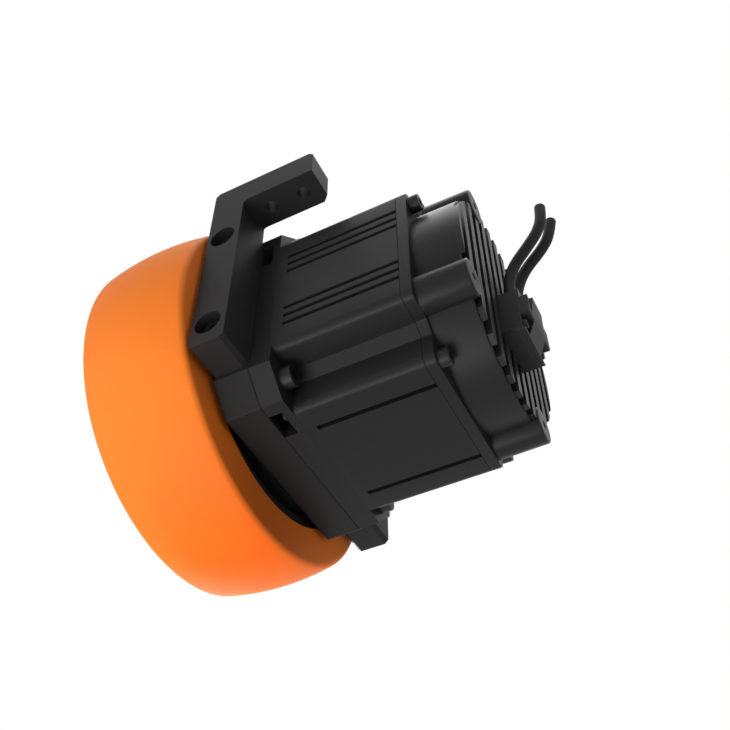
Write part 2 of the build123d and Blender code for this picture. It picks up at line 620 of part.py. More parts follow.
def make_motor_shaft():
    """Stepped shaft from the first sun gear to the encoder magnet, with the rotor core on it."""
    front_r = FRONT_BEARING["bore_r"]
    rear_r = REAR_BEARING["bore_r"]
    sun_end_y = PLANET_1_Y + STAGE_1_WIDTH
    front_stop_y = FRONT_BEARING_Y + FRONT_BEARING["width"]
    return turned([(0, PLANET_1_Y), (SUN_SEAT_R, PLANET_1_Y), (SUN_SEAT_R, sun_end_y), (front_r, sun_end_y),
                   (front_r, front_stop_y), (front_r + SHOULDER, front_stop_y),
                   (front_r + SHOULDER, STATOR_START), (ROTOR_CORE_R, STATOR_START),
                   (ROTOR_CORE_R, STATOR_END), (rear_r + SHOULDER, STATOR_END),
                   (rear_r + SHOULDER, REAR_BEARING_Y), (rear_r, REAR_BEARING_Y), (rear_r, HOUSING_LENGTH),
                   (ENCODER_MAGNET_R, HOUSING_LENGTH), (ENCODER_MAGNET_R, ENCODER_MAGNET_Y),
                   (0, ENCODER_MAGNET_Y)])


def make_rotor_magnets():
    """Curved magnets bonded round the rotor core."""
    half = math.radians(180.0 / MAGNET_COUNT - MAGNET_SPACE_DEG / 2)
    reach = 2 * ROTOR_R
    wedge = make_face(Polyline((0, 0), (reach, -reach * math.tan(half)), (reach, reach * math.tan(half)),
                               close=True))
    face = (Circle(ROTOR_R) - Circle(ROTOR_CORE_R)) & wedge
    return around(prism(face, STATOR_START, STATOR_END), MAGNET_COUNT)


# Rear cover

def cover_bosses(base_r, tip_r, y0, y1):
    """Tapered rounds at the four bosses of the rear cover."""
    boss = turned([(0, y0), (base_r, y0), (tip_r, y1), (0, y1)])
    return around(Pos(BOSS_CIRCLE_R, 0, 0) * boss, 4, BOSS_ANGLE)


def make_rear_cover():
    """Die-cast cover: flange, round wall, cooling fins, bosses and the pad under the connector."""
    flange = prism(housing_outline(), HOUSING_LENGTH, COVER_FACE_Y)
    flange = chamfer(flange.faces().sort_by(Axis.Y)[0].edges(), SEAM)
    foot_y = HOUSING_LENGTH + SEAM
    wall = turned([(0, foot_y), (COVER_R, foot_y), (COVER_R, COVER_FACE_Y), (COVER_RIM_R, COVER_RIM_Y),
                   (0, COVER_RIM_Y)])
    wall = fillet(rear_circle(wall), COVER_RIM_FILLET)
    cover = flange + wall
    cover -= rod(FIN_CIRCLE_R, FIN_FLOOR_Y, FIN_TOP_Y + 1)
    fin_circle = Circle(FIN_CIRCLE_R)
    for i in range(-FIN_SIDE_COUNT, FIN_SIDE_COUNT + 1):
        strip = Pos(FIN_PITCH * i, 0) * Rectangle(FIN_THICKNESS, 2 * FIN_CIRCLE_R + 1)
        cover += prism(strip & fin_circle, FIN_FLOOR_Y, FIN_TOP_Y)
    pad = PLUG_WIDTH / 2 + NECK_ROOM
    low = PLUG_BOTTOM_Z - NECK_ROOM
    high = PLUG_TOP_Z + NECK_ROOM
    cover -= block(-pad, pad, PLUG_FACE_Y, max(FIN_TOP_Y, PLUG_FACE_Y) + 1, low, high)
    cover += block(-pad, pad, FIN_FLOOR_Y, PLUG_FACE_Y, low, high)
    cover += cover_bosses(BOSS_BASE_R, BOSS_TIP_R, COVER_FACE_Y, BOSS_TIP_Y)
    cover -= rod(COVER_R - COVER_WALL, HOUSING_LENGTH - 1, COVER_WEB_Y)
    neck = NECK_WIDTH / 2 + NECK_ROOM
    cover -= block(-neck, neck, COVER_WEB_Y - 1, PLUG_FACE_Y + 1, PLUG_MID_Z - neck, PLUG_MID_Z + neck)
    cover -= cover_bosses(BOSS_HOLE_R, BOSS_HOLE_R, BOSS_TIP_Y - BOSS_HOLE_DEPTH, BOSS_TIP_Y + 1)
    cover -= tie_holes(M3["shank_r"] + HOLE_ROOM, HOUSING_LENGTH - 1, COVER_FACE_Y + 1)
    cover -= tie_holes(M3["head_r"] + NECK_ROOM, COVER_FACE_Y, COVER_FACE_Y + M3["head_h"] + 1)
    return cover


# Electronics

def board_places(count, circle_r, start=0.0):
    """Places in x and z of parts set round the board."""
    angles = [math.radians(start + 360.0 * i / count) for i in range(count)]
    return [(circle_r * math.cos(a), circle_r * math.sin(a)) for a in angles]


def make_transistors():
    """Power parts between the board and the web of the cover."""
    shape = block(-TRANSISTOR_WIDTH / 2, TRANSISTOR_WIDTH / 2, BOARD_TOP_Y, COVER_WEB_Y - THERMAL_PAD,
                  -TRANSISTOR_LENGTH / 2, TRANSISTOR_LENGTH / 2)
    places = board_places(TRANSISTOR_COUNT, TRANSISTOR_CIRCLE_R, TRANSISTOR_START)
    return [Pos(x, 0, z) * shape for x, z in places]


def make_capacitors():
    """Capacitors on the motor side of the board."""
    y0 = BOARD_Y - CAPACITOR_LENGTH
    return [rod(CAPACITOR_R, y0, BOARD_Y, x, z)
            for x, z in board_places(CAPACITOR_COUNT, CAPACITOR_CIRCLE_R, CAPACITOR_START)]


def make_spacers():
    """Posts between the board and the web of the cover."""
    return [rod(SPACER_R, BOARD_TOP_Y, COVER_WEB_Y, x, z)
            for x, z in board_places(SPACER_COUNT, SPACER_CIRCLE_R)]


def make_encoder_chip():
    """Chip on the board that reads the magnet on the shaft."""
    half = ENCODER_CHIP_SIDE / 2
    return block(-half, half, ENCODER_CHIP_Y, BOARD_Y, -half, half)


# Connector

def contact_places():
    """Places in x and z of the contacts under the connector."""
    middle = (CONTACT_COUNT - 1) / 2
    return [(CONTACT_PITCH * (i - middle), PLUG_MID_Z + side * CONTACT_PITCH / 2)
            for i in range(CONTACT_COUNT) for side in (1, -1)]


def lid_screw_places():
    """Places of the two screws of the connector's lid, in the pockets beside its slope."""
    x = PLUG_WIDTH / 2 - LID_POCKET / 2
    z = (RIDGE_END_Z + PLUG_BOTTOM_Z) / 2
    return [(x, z), (-x, z)]


def make_connector_body():
    """Square body on the pad of the cover, with a neck down to the board."""
    half = PLUG_WIDTH / 2
    body = block(-half, half, PLUG_FACE_Y, LID_FACE_Y, PLUG_BOTTOM_Z, PLUG_TOP_Z)
    body = chamfer(body.edges().filter_by(Axis.Y), PLUG_EDGE)
    neck = NECK_WIDTH / 2
    body += block(-neck, neck, BOARD_TOP_Y + FREE, PLUG_FACE_Y, PLUG_MID_Z - neck, PLUG_MID_Z + neck)
    entry = Cylinder(CABLE_R + CABLE_ENTRY_ROOM, 2 * CABLE_ENTRY_DEPTH)
    for side in (1, -1):
        body -= Pos(side * CABLE_X, PLUG_FACE_Y + POWER_CABLE[0][0], PLUG_TOP_Z) * entry
    for x, z in contact_places():
        body -= rod(CONTACT_R + SEAT, BOARD_TOP_Y, PLUG_FACE_Y, x, z)
    for x, z in lid_screw_places():
        body -= rod(LID_SCREW_R / 2 + SEAT, LID_FACE_Y - LID_SCREW_LENGTH, LID_FACE_Y + 1, x, z)
    return body


def lid_profile():
    """Side view of the connector's lid in y and z: a flat strip, a ridge and a slope."""
    return make_face(Polyline((LID_FACE_Y, PLUG_TOP_Z), (LID_TOP_Y, PLUG_TOP_Z), (LID_TOP_Y, RIDGE_TOP_Z),
                              (LID_TOP_Y + LID_RIDGE, RIDGE_TOP_Z), (LID_TOP_Y + LID_RIDGE, RIDGE_END_Z),
                              (LID_TOP_Y, PLUG_BOTTOM_Z), (LID_FACE_Y, PLUG_BOTTOM_Z), close=True))


def lid_latch():
    """Wedge on the ridge of the lid, highest at the ridge's step and sloping away at one end."""
    y0 = LID_TOP_Y + LID_RIDGE
    end_x = LATCH_START_X - LATCH_WIDTH
    side = make_face(Polyline((y0 - 1, RIDGE_TOP_Z), (y0 + LATCH_HEIGHT, RIDGE_TOP_Z), (y0, RIDGE_END_Z),
                              (y0 - 1, RIDGE_END_Z), close=True))
    front = make_face(Polyline((LATCH_START_X, y0 - 1), (LATCH_START_X, y0 + LATCH_HEIGHT),
                               (end_x, y0 + LATCH_HEIGHT), (end_x - LATCH_SLOPE, y0),
                               (end_x - LATCH_SLOPE, y0 - 1), close=True))
    wedge = extrude(Plane.YZ.offset(end_x - LATCH_SLOPE) * side, amount=LATCH_WIDTH + LATCH_SLOPE)
    return wedge & extrude(Plane.XY.offset(RIDGE_END_Z) * front, amount=LID_RIDGE_WIDTH)


def make_connector_lid():
    """Lid with a ridge, and a pocket for a screw at each end of its slope."""
    half = PLUG_WIDTH / 2
    lid = extrude(Plane.YZ.offset(-half) * lid_profile(), amount=PLUG_WIDTH)
    lid &= chamfer(block(-half, half, LID_FACE_Y, LID_TOP_Y + LID_RIDGE, PLUG_BOTTOM_Z,
                         PLUG_TOP_Z).edges().filter_by(Axis.Y), PLUG_EDGE)
    lid += lid_latch()
    for side in (1, -1):
        x0, x1 = sorted((side * (half - LID_POCKET), side * (half + 1)))
        lid -= block(x0, x1, LID_TOP_Y - PLUG_EDGE, LID_TOP_Y + LID_RIDGE + 1,
                     PLUG_BOTTOM_Z + PLUG_EDGE, RIDGE_END_Z - PLUG_EDGE)
    for x, z in lid_screw_places():
        lid -= rod(LID_SCREW_R / 2 + SEAT, LID_FACE_Y - 1, LID_TOP_Y + 1, x, z)
    return lid


def make_lid_screws():
    """Small pan-head screws of the lid."""
    y0 = LID_TOP_Y - PLUG_EDGE
    screws = []
    for x, z in lid_screw_places():
        head = rod(LID_SCREW_R, y0, y0 + LID_SCREW_HEAD, x, z)
        head = chamfer(rear_circle(head), LID_SCREW_HEAD * 0.3)
        screws.append(head + rod(LID_SCREW_R / 2, LID_FACE_Y - LID_SCREW_LENGTH + 1, y0, x, z))
    return screws


def make_contacts():
    """Contacts between the connector and the board."""
    return [rod(CONTACT_R, BOARD_TOP_Y, PLUG_FACE_Y - 1, x, z) for x, z in contact_places()]


def make_cable(name, route, x):
    """Round cable along straight runs joined by arcs, in a plane of constant x."""
    points = [(PLUG_FACE_Y + y, PLUG_TOP_Z + z) for y, z in route]
    runs = [math.dist(a, b) for a, b in zip(points, points[1:])]
    headings = [math.atan2(b[1] - a[1], b[0] - a[0]) for a, b in zip(points, points[1:])]
    radii = []
    for i in range(len(runs) - 1):
        turn = abs(headings[i + 1] - headings[i])
        radii.append(CABLE_ARC_SHARE * min(runs[i], runs[i + 1]) / math.tan(turn / 2))
    path = FilletPolyline(*[(x, y, z) for y, z in points], radius=radii)
    cable = sweep(Plane(path @ 0, z_dir=path % 0) * Circle(CABLE_R), path=path)
    share = cable.volume / (math.pi * CABLE_R ** 2 * path.length)
    print(name, "length", round(path.length, 1), "volume share", round(share, 4),
          "arc radii", [round(r, 1) for r in radii])
    return cable


# Gearbox

def make_ring_gear():
    """Gearbox body whose internal teeth serve both stages."""
    spaces = toothed_outline(RING_TEETH, RING_PITCH_R - MODULE, RING_ROOT_R, -BACKLASH, 0.0)
    body = prism(Circle(GEARBOX_R) - spaces, RING_END_Y, PLATE_FRONT_Y)
    return body - gearbox_screw_holes(RING_END_Y - 1, PLATE_FRONT_Y + 1, M4_FLAT["shank_r"] + HOLE_ROOM)


def make_output_housing():
    """Outer end of the gearbox body with the seat of the wheel bearing."""
    seat_r = outside(OUTPUT_BEARING) + SEAT
    seat_y = OUTPUT_BEARING_Y + OUTPUT_BEARING["width"]
    shoulder_r = outside(OUTPUT_BEARING) - BEARING_SHOULDER
    body = turned([(shoulder_r, RING_END_Y), (GEARBOX_R, RING_END_Y), (GEARBOX_R, OUTPUT_BEARING_Y + 1),
                   (GEARBOX_R - 1, OUTPUT_BEARING_Y), (seat_r, OUTPUT_BEARING_Y), (seat_r, seat_y),
                   (shoulder_r, seat_y)])
    return body - gearbox_screw_holes(RING_END_Y - GEARBOX_SCREW_GRIP - THREAD_TIP, RING_END_Y + 1,
                                      M4_FLAT["shank_r"] + SEAT)


def make_gearbox_screws():
    """Countersunk screws from the plate through the ring gear into the output housing."""
    screw = Pos(GEARBOX_SCREW_CIRCLE_R, 0, 0) * flat_screw(M4_FLAT, GEARBOX_SCREW_GRIP - RING_END_Y)
    return around(screw, GEARBOX_SCREW_COUNT, 180.0 / GEARBOX_SCREW_COUNT)


def make_carrier():
    """Disc of the first stage's carrier."""
    disc = ring(SHANK_R + SEAT, CARRIER_R, CARRIER_Y, CARRIER_Y + CARRIER_THICKNESS)
    return disc - pin_holes(CARRIER_Y - 1, CARRIER_Y + CARRIER_THICKNESS + 1)


def make_pin_washers():
    """Washers that keep the first stage's planets on their pins."""
    y0 = PLANET_1_Y + STAGE_1_WIDTH + FREE / 2
    washer = ring(PIN_R + SEAT, WASHER_R, y0, y0 + WASHER_THICKNESS)
    return around(Pos(ORBIT_R, 0, 0) * washer, PLANETS)


def make_first_sun():
    """Sun gear of the first stage, pressed on the motor shaft."""
    face = gear_face(SUN_TEETH, SUN_SEAT_R + SEAT, sun_phase())
    return prism(face, PLANET_1_Y, PLANET_1_Y + STAGE_1_WIDTH)


def make_second_sun():
    """Sun gear of the second stage with the shank that sits in the first carrier."""
    gear = prism(gear_face(SUN_TEETH, SUN_BORE_R, sun_phase()), PLANET_2_Y, CARRIER_Y)
    return gear + ring(SUN_BORE_R, SHANK_R, CARRIER_Y, CARRIER_Y + CARRIER_THICKNESS)


def make_output_carrier():
    """Flange with the pin seats, the bearing journal and the spigot of the hub."""
    journal_r = OUTPUT_BEARING["bore_r"]
    step_y = OUTPUT_FACE_Y - OUTPUT_FLANGE
    tip_y = WEB_INNER_Y - SPIGOT_LENGTH
    body = turned([(0, OUTPUT_FACE_Y), (CARRIER_R, OUTPUT_FACE_Y), (CARRIER_R, step_y), (journal_r, step_y),
                   (journal_r, WEB_INNER_Y), (SPIGOT_R - SEAT, WEB_INNER_Y), (SPIGOT_R - SEAT, tip_y),
                   (0, tip_y)])
    body -= pin_holes(step_y, OUTPUT_FACE_Y + 1)
    hole = rod(M5_FLAT["shank_r"] + SEAT, WEB_INNER_Y - 1, WEB_OUTER_Y + HUB_SCREW_LENGTH + THREAD_TIP,
               0, HUB_SCREW_CIRCLE_R)
    return body - around(hole, HUB_SCREW_COUNT)


# Wheel

def make_hub():
    """Rim with a web across its outer end."""
    recess_y = WEB_OUTER_Y + WEB_RECESS
    hub = turned([(SPIGOT_R, WEB_INNER_Y), (HUB_BORE_R - WEB_CORNER, WEB_INNER_Y),
                  (HUB_BORE_R, WEB_INNER_Y + WEB_CORNER), (HUB_BORE_R, HUB_INNER_Y), (HUB_R, HUB_INNER_Y),
                  (HUB_R, WEB_OUTER_Y), (WEB_RECESS_OUT_R + WEB_RECESS, WEB_OUTER_Y),
                  (WEB_RECESS_OUT_R, recess_y), (WEB_RECESS_IN_R, recess_y),
                  (WEB_RECESS_IN_R - WEB_RECESS, WEB_OUTER_Y), (SPIGOT_R, WEB_OUTER_Y)])
    hole = Rot(180, 0, 0) * countersink(M5_FLAT, WEB_THICKNESS + 1)
    return hub - around(Pos(0, WEB_OUTER_Y, HUB_SCREW_CIRCLE_R) * hole, HUB_SCREW_COUNT)


def make_hub_screws():
    """Countersunk screws from the web into the output carrier."""
    screw = Rot(180, 0, 0) * flat_screw(M5_FLAT, HUB_SCREW_LENGTH)
    return around(Pos(0, WEB_OUTER_Y, HUB_SCREW_CIRCLE_R) * screw, HUB_SCREW_COUNT)


def make_hub_cap():
    """Cap pressed into the bore of the web."""
    plug_r = SPIGOT_R - SEAT
    face_y = WEB_OUTER_Y - CAP_RIM
    tip_y = WEB_INNER_Y - SPIGOT_LENGTH
    return turned([(0, face_y), (CAP_RIM_R - CAP_RIM / 2, face_y), (CAP_RIM_R, face_y + CAP_RIM / 2),
                   (CAP_RIM_R, WEB_OUTER_Y), (plug_r, WEB_OUTER_Y), (plug_r, tip_y), (0, tip_y)])


def make_tyre():
    """Crowned tread bonded on the hub, with rounded shoulders."""
    middle_y = (TYRE_INNER_Y + TYRE_OUTER_Y) / 2
    edge_r = TYRE_R - TYRE_CROWN
    crown = ThreePointArc((edge_r, TYRE_INNER_Y), (TYRE_R, middle_y), (edge_r, TYRE_OUTER_Y))
    sides = Polyline((edge_r, TYRE_OUTER_Y), (HUB_R, TYRE_OUTER_Y), (HUB_R, TYRE_INNER_Y),
                     (edge_r, TYRE_INNER_Y))
    face = make_face(crown + sides)
    inner = face.vertices().sort_by_distance((edge_r, TYRE_INNER_Y))[0]
    face = fillet(inner, TYRE_INNER_ROUND)
    outer = face.vertices().sort_by_distance((edge_r, TYRE_OUTER_Y))[0]
    face = fillet(outer, TYRE_OUTER_ROUND)
    return revolve(face, axis=Axis.Y)


def frame_nodes():
    """Nodes of the plate, the brackets and the fixed gearbox."""
    bracket = make_bracket()
    shaft_r = FRONT_BEARING["bore_r"]
    return {
        "mounting_plate": make_plate(),
        "bracket_right": bracket,
        "bracket_left": mirror(bracket, Plane.YZ),
        "bracket_screws": make_bracket_screws(),
        "ring_gear": make_ring_gear(),
        "output_housing": make_output_housing(),
        "gearbox_screws": make_gearbox_screws(),
        "output_bearing_outer": bearing_outer(OUTPUT_BEARING, OUTPUT_BEARING_Y),
        "shaft_seal": ring(shaft_r + RUNNING, SEAL_R, PLATE_FRONT_Y, PLATE_FRONT_Y + SEAL_THICKNESS),
    }


def motor_nodes():
    """Nodes of the fixed motor parts."""
    motor_screw = socket_screw(M4, MOTOR_SCREW_LENGTH)
    tie_screw = socket_screw(M3, COVER_FACE_Y - POCKET_LENGTH / 2)
    return {
        "motor_housing": make_motor_housing(),
        "motor_screws": [Pos(x, FLANGE_THICKNESS, z) * motor_screw for x, z in motor_screw_places()],
        "front_bearing_outer": bearing_outer(FRONT_BEARING, FRONT_BEARING_Y),
        "rear_bearing_outer": bearing_outer(REAR_BEARING, REAR_BEARING_Y),
        "stator_core": make_stator_core(),
        "stator_coils": make_stator_coils(),
        "end_shield": make_end_shield(),
        "rear_cover": make_rear_cover(),
        "tie_screws": around(Pos(TIE_X, COVER_FACE_Y, TIE_Z) * tie_screw, 4),
        "drive_board": rod(BOARD_R, BOARD_Y, BOARD_TOP_Y),
        "board_spacers": make_spacers(),
        "power_transistors": make_transistors(),
        "capacitors": make_capacitors(),
        "encoder_chip": make_encoder_chip(),
        "connector_body": make_connector_body(),
        "connector_lid": make_connector_lid(),
        "connector_screws": make_lid_screws(),
        "connector_contacts": make_contacts(),
        "power_cable": make_cable("power_cable", POWER_CABLE, CABLE_X),
        "signal_cable": make_cable("signal_cable", SIGNAL_CABLE, -CABLE_X),
    }


def wheel_nodes():
    """Nodes that turn with the wheel."""
    return {
        "tyre": make_tyre(),
        "hub": make_hub(),
        "output_carrier": make_output_carrier(),
        "output_pins": planet_pins(OUTPUT_FACE_Y - OUTPUT_FLANGE, PLANET_2_Y + STAGE_2_WIDTH),
        "hub_screws": make_hub_screws(),
        "hub_cap": make_hub_cap(),
        "output_bearing_inner": bearing_inner(OUTPUT_BEARING, OUTPUT_BEARING_Y),
    }


def rotor_nodes():
    """Nodes that turn with the motor shaft."""
    magnet_end_y = ENCODER_MAGNET_Y + ENCODER_MAGNET_LENGTH
    return {
        "motor_shaft": make_motor_shaft(),
        "rotor_magnets": make_rotor_magnets(),
        "encoder_magnet": rod(ENCODER_MAGNET_R, ENCODER_MAGNET_Y, magnet_end_y),
        "sun_gear_1": make_first_sun(),
        "front_bearing_inner": bearing_inner(FRONT_BEARING, FRONT_BEARING_Y),
        "rear_bearing_inner": bearing_inner(REAR_BEARING, REAR_BEARING_Y),
    }


def carrier_nodes():
    """Nodes of the first carrier, and the planets of both stages."""
    nodes = {
        "carrier_1": make_carrier(),
        "carrier_1_pins": planet_pins(CARRIER_Y, PLATE_FRONT_Y - FREE),
        "pin_washers": make_pin_washers(),
        "sun_gear_2": make_second_sun(),
    }
    stages = {"1": planets(PLANET_1_Y, STAGE_1_WIDTH), "2": planets(PLANET_2_Y, STAGE_2_WIDTH)}
    for stage, gears in stages.items():
        for letter, gear in zip("abc", gears):
            nodes["planet_" + stage + letter] = gear
    return nodes


def main():
    os.makedirs("parts", exist_ok=True)
    place = Pos(*[-value for value in ORIGIN])
    nodes = {**frame_nodes(), **motor_nodes(), **wheel_nodes(), **rotor_nodes(), **carrier_nodes()}
    for name, shapes in nodes.items():
        solids = []
        for shape in shapes if isinstance(shapes, list) else [shapes]:
            solids += (place * shape).solids()
        node = solids[0] if len(solids) == 1 else Compound(solids)
        export_step(node, "parts/" + name + ".step")


main()
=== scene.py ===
import collections
import json
import math
import bmesh
import bpy
from mathutils import Matrix, Vector


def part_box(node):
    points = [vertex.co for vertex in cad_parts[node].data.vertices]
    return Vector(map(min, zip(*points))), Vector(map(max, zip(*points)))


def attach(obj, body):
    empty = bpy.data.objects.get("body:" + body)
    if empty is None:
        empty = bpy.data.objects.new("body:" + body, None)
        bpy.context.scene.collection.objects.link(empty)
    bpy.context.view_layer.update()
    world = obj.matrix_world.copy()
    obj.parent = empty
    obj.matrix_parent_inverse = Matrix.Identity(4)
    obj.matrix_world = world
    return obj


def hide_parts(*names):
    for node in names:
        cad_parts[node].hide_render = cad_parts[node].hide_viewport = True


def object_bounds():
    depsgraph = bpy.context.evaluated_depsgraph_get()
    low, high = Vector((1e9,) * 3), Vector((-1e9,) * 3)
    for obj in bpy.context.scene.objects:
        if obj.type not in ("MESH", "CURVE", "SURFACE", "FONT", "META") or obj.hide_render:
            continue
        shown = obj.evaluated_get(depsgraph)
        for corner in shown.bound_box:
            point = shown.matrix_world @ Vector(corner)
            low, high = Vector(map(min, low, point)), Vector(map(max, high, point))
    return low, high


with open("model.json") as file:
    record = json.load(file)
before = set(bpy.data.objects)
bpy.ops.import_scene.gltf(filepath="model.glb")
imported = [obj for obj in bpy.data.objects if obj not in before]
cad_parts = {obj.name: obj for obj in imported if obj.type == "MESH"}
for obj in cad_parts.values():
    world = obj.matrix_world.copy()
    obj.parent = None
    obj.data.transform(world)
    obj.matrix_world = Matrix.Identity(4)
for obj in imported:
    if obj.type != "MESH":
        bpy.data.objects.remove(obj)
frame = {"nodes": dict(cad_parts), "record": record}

bl_info = {
    "name": "Drive wheel unit",
    "version": (1, 0, 0),
    "blender": (4, 5, 0),
    "location": "3D View > Sidebar > Drive unit",
    "description": "Dresses the frame of a vehicle's drive wheel unit",
    "category": "Mesh",
}

# The pieces are drawn about the wheel axis: x across the vehicle, y from the rear face of the
# mounting plate towards the motor's end, z up. PLACE moves them to the frame.
SOLID_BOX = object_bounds()
TYRE_LOW, TYRE_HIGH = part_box("tyre")
PLATE_LOW, PLATE_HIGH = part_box("mounting_plate")
PLACE = Vector((0, PLATE_HIGH[1], (TYRE_LOW[2] + TYRE_HIGH[2]) / 2))
PLATE_FRONT = PLATE_LOW[1] - PLACE.y
TYRE_INNER = TYRE_HIGH[1] - PLACE.y
TYRE_OUTER = TYRE_LOW[1] - PLACE.y

# Steps of round shapes
FINE = 160                  # round a large circle
MEDIUM = 64                 # round a boss
SMALL = 48                  # round a screw or a hole
CORNER = 6                  # round a rounded corner
SHOULDER_STEPS = 10         # round a shoulder of the tread
TREAD_STEPS = 24            # across the bow of the tread
ARC_STEPS = 8               # along half of an outermost fin's arc

# Lengths in metres, with one share and one angle
OVER = 0.001                # how far a cutter passes a face, and a joined piece the face of its neighbour
FIN_FOOT = 0.0002           # how far the fins reach into their floor
FIN_REACH = 2.2             # length of a fin before it is cut, in radii of the fins' circle
PLATE_EDGE = 0.00035        # rounding of the edges of plate and brackets
BODY_EDGE = 0.0003          # the same for hub, housing and the cover's flange
FINE_EDGE = 0.00025         # the same for fins and connector
PAD_EDGE = 0.0002           # the same for the pad under the connector
SAME_PLACE = 1e-6           # points nearer than this are one
DOUBLES = 1e-7              # vertices nearer than this are merged
SHARP = math.radians(35)    # angle between faces from which an edge counts as hard

# Turns of screws about their own axes in radians, so that their sockets don't line up
HUB_TURN = 0.4
FLANGE_TURN = (0.7, 0.3)
LID_TURN = 0.5

# Signs of x and z at the four corners
CORNERS = [(sx, sz) for sx in (1, -1) for sz in (1, -1)]


def length(name, millimetres, text):
    """A size that is kept in metres and written here in millimetres."""
    return bpy.props.FloatProperty(name=name, description=text, default=millimetres / 1000,
                                   min=-1.0, precision=5, unit="LENGTH")


def colour(name, value, text):
    """A surface colour."""
    return bpy.props.FloatVectorProperty(name=name, description=text, default=value, size=3,
                                         min=0.0, max=1.0, subtype="COLOR")


SCREW_TEXT = "Head radius and height, socket across flats and its depth, shank radius, length under the head"
Screw = collections.namedtuple("Screw", "head height flats depth shank reach")


def screw_lengths(name, millimetres):
    """The sizes of a screw, kept in metres and written here in millimetres."""
    return bpy.props.FloatVectorProperty(name=name, description=SCREW_TEXT, size=6, precision=5,
                                         default=[value / 1000 for value in millimetres], unit="LENGTH")


class TyreSizes(bpy.types.PropertyGroup):
    """Sizes of the tread."""
    radius: length("Radius", 61.4, "Largest radius, in the middle of the tread")
    crown: length("Crown", 1.9, "How much smaller the tread is at its edges")
    inner_round: length("Inner shoulder", 2.0, "Radius of the shoulder beside the plate")
    outer_round: length("Outer shoulder", 1.0, "Radius of the shoulder on the open side")
    bow_start: bpy.props.FloatProperty(name="Bow start", default=1.5, min=1.0,
                                       description="Where the tread's bow starts, in radii of its shoulder")


class HubSizes(bpy.types.PropertyGroup):
    """Sizes of the rim and the web."""
    radius: length("Radius", 46.7, "Radius under the tread")
    bore: length("Bore", 42.3, "Radius inside the rim")
    inset: length("Inset", 1.3, "From the edge of the tread to the edge of the rim")
    web_inner: length("Web inner face", -44.5, "Place of the web's inner face along the axis")
    web_outer: length("Web outer face", -49.5, "Place of the web's outer face along the axis")
    recess: length("Recess", 1.2, "Depth of the ring-shaped recess in the web")
    recess_inner: length("Recess inner radius", 27.0, "Where the recess starts")
    recess_outer: length("Recess outer radius", 41.0, "Where the recess ends")
    root: length("Root rounding", 1.0, "Rounding between the web and the inside of the rim")
    spigot: length("Bore of the web", 10.0, "Radius of the bore under the cap")
    cap: length("Cap", 12.5, "Radius of the cap")
    cap_height: length("Cap height", 0.8, "How far the cap stands out")
    cap_plug: length("Cap plug", 8.0, "How far the cap reaches in behind the web's face")
    screw_circle: length("Screw circle", 18.5, "Radius of the circle of hub screws")
    screw_count: bpy.props.IntProperty(name="Hub screws", default=6, min=1,
                                       description="Number of screws in the hub")


class FrameSizes(bpy.types.PropertyGroup):
    """Sizes of the mounting plate and its two brackets."""
    plate_side: length("Plate half width", 40.3, "From the axis to a side of the plate")
    plate_chamfer: length("Plate chamfer", 8.8, "Cut-off corners of the plate")
    pilot: length("Register", 24.0, "Radius of the motor's register in the plate")
    pilot_depth: length("Register depth", 3.7, "Depth of the register")
    seal: length("Shaft seal", 13.03, "Radius of the bore for the shaft seal")
    leg: length("Leg thickness", 13.5, "Thickness of a bracket's leg")
    leg_below: length("Leg below axis", 30.6, "How far the leg reaches below the axis")
    top: length("Top", 49.7, "Height of the chassis faces above the axis")
    arm: length("Arm length", 26.1, "From the plate to the end of the arm")
    arm_height: length("Arm height", 11.3, "Height of the arm")
    arm_width: length("Arm width", 12.8, "Width of the arm")
    arm_bevel: length("Arm bevel", 2.0, "Bevel of the inner upright edge at the arm's end")
    chamfer: length("Chamfer", 1.4, "Chamfers at the ends of a bracket")
    fillet: length("Inner fillet", 2.0, "Radius in the inner corner of a bracket")
    screw_z: length("Leg screw height", 21.6, "Height of a leg screw above or below the axis")
    screw_inset: length("Leg screw inset", 6.3, "From the rear face of the plate to a leg screw")
    bore_depth: length("Counterbore depth", 8.0, "Depth of the counterbores")
    bore_radius: length("Counterbore radius", 4.5, "Radius of the counterbores")
    leg_hole: length("Leg hole radius", 2.75, "Radius of the hole for a leg screw's shank")
    hole_x: length("Chassis hole place", 47.25, "From the axis to a chassis hole, across")
    hole_y: length("First chassis hole", 7.4, "From the plate to the nearer chassis hole")
    hole_pitch: length("Chassis hole pitch", 12.0, "Between the two holes of an arm")
    hole_radius: length("Chassis hole radius", 2.1, "Radius of a chassis hole")


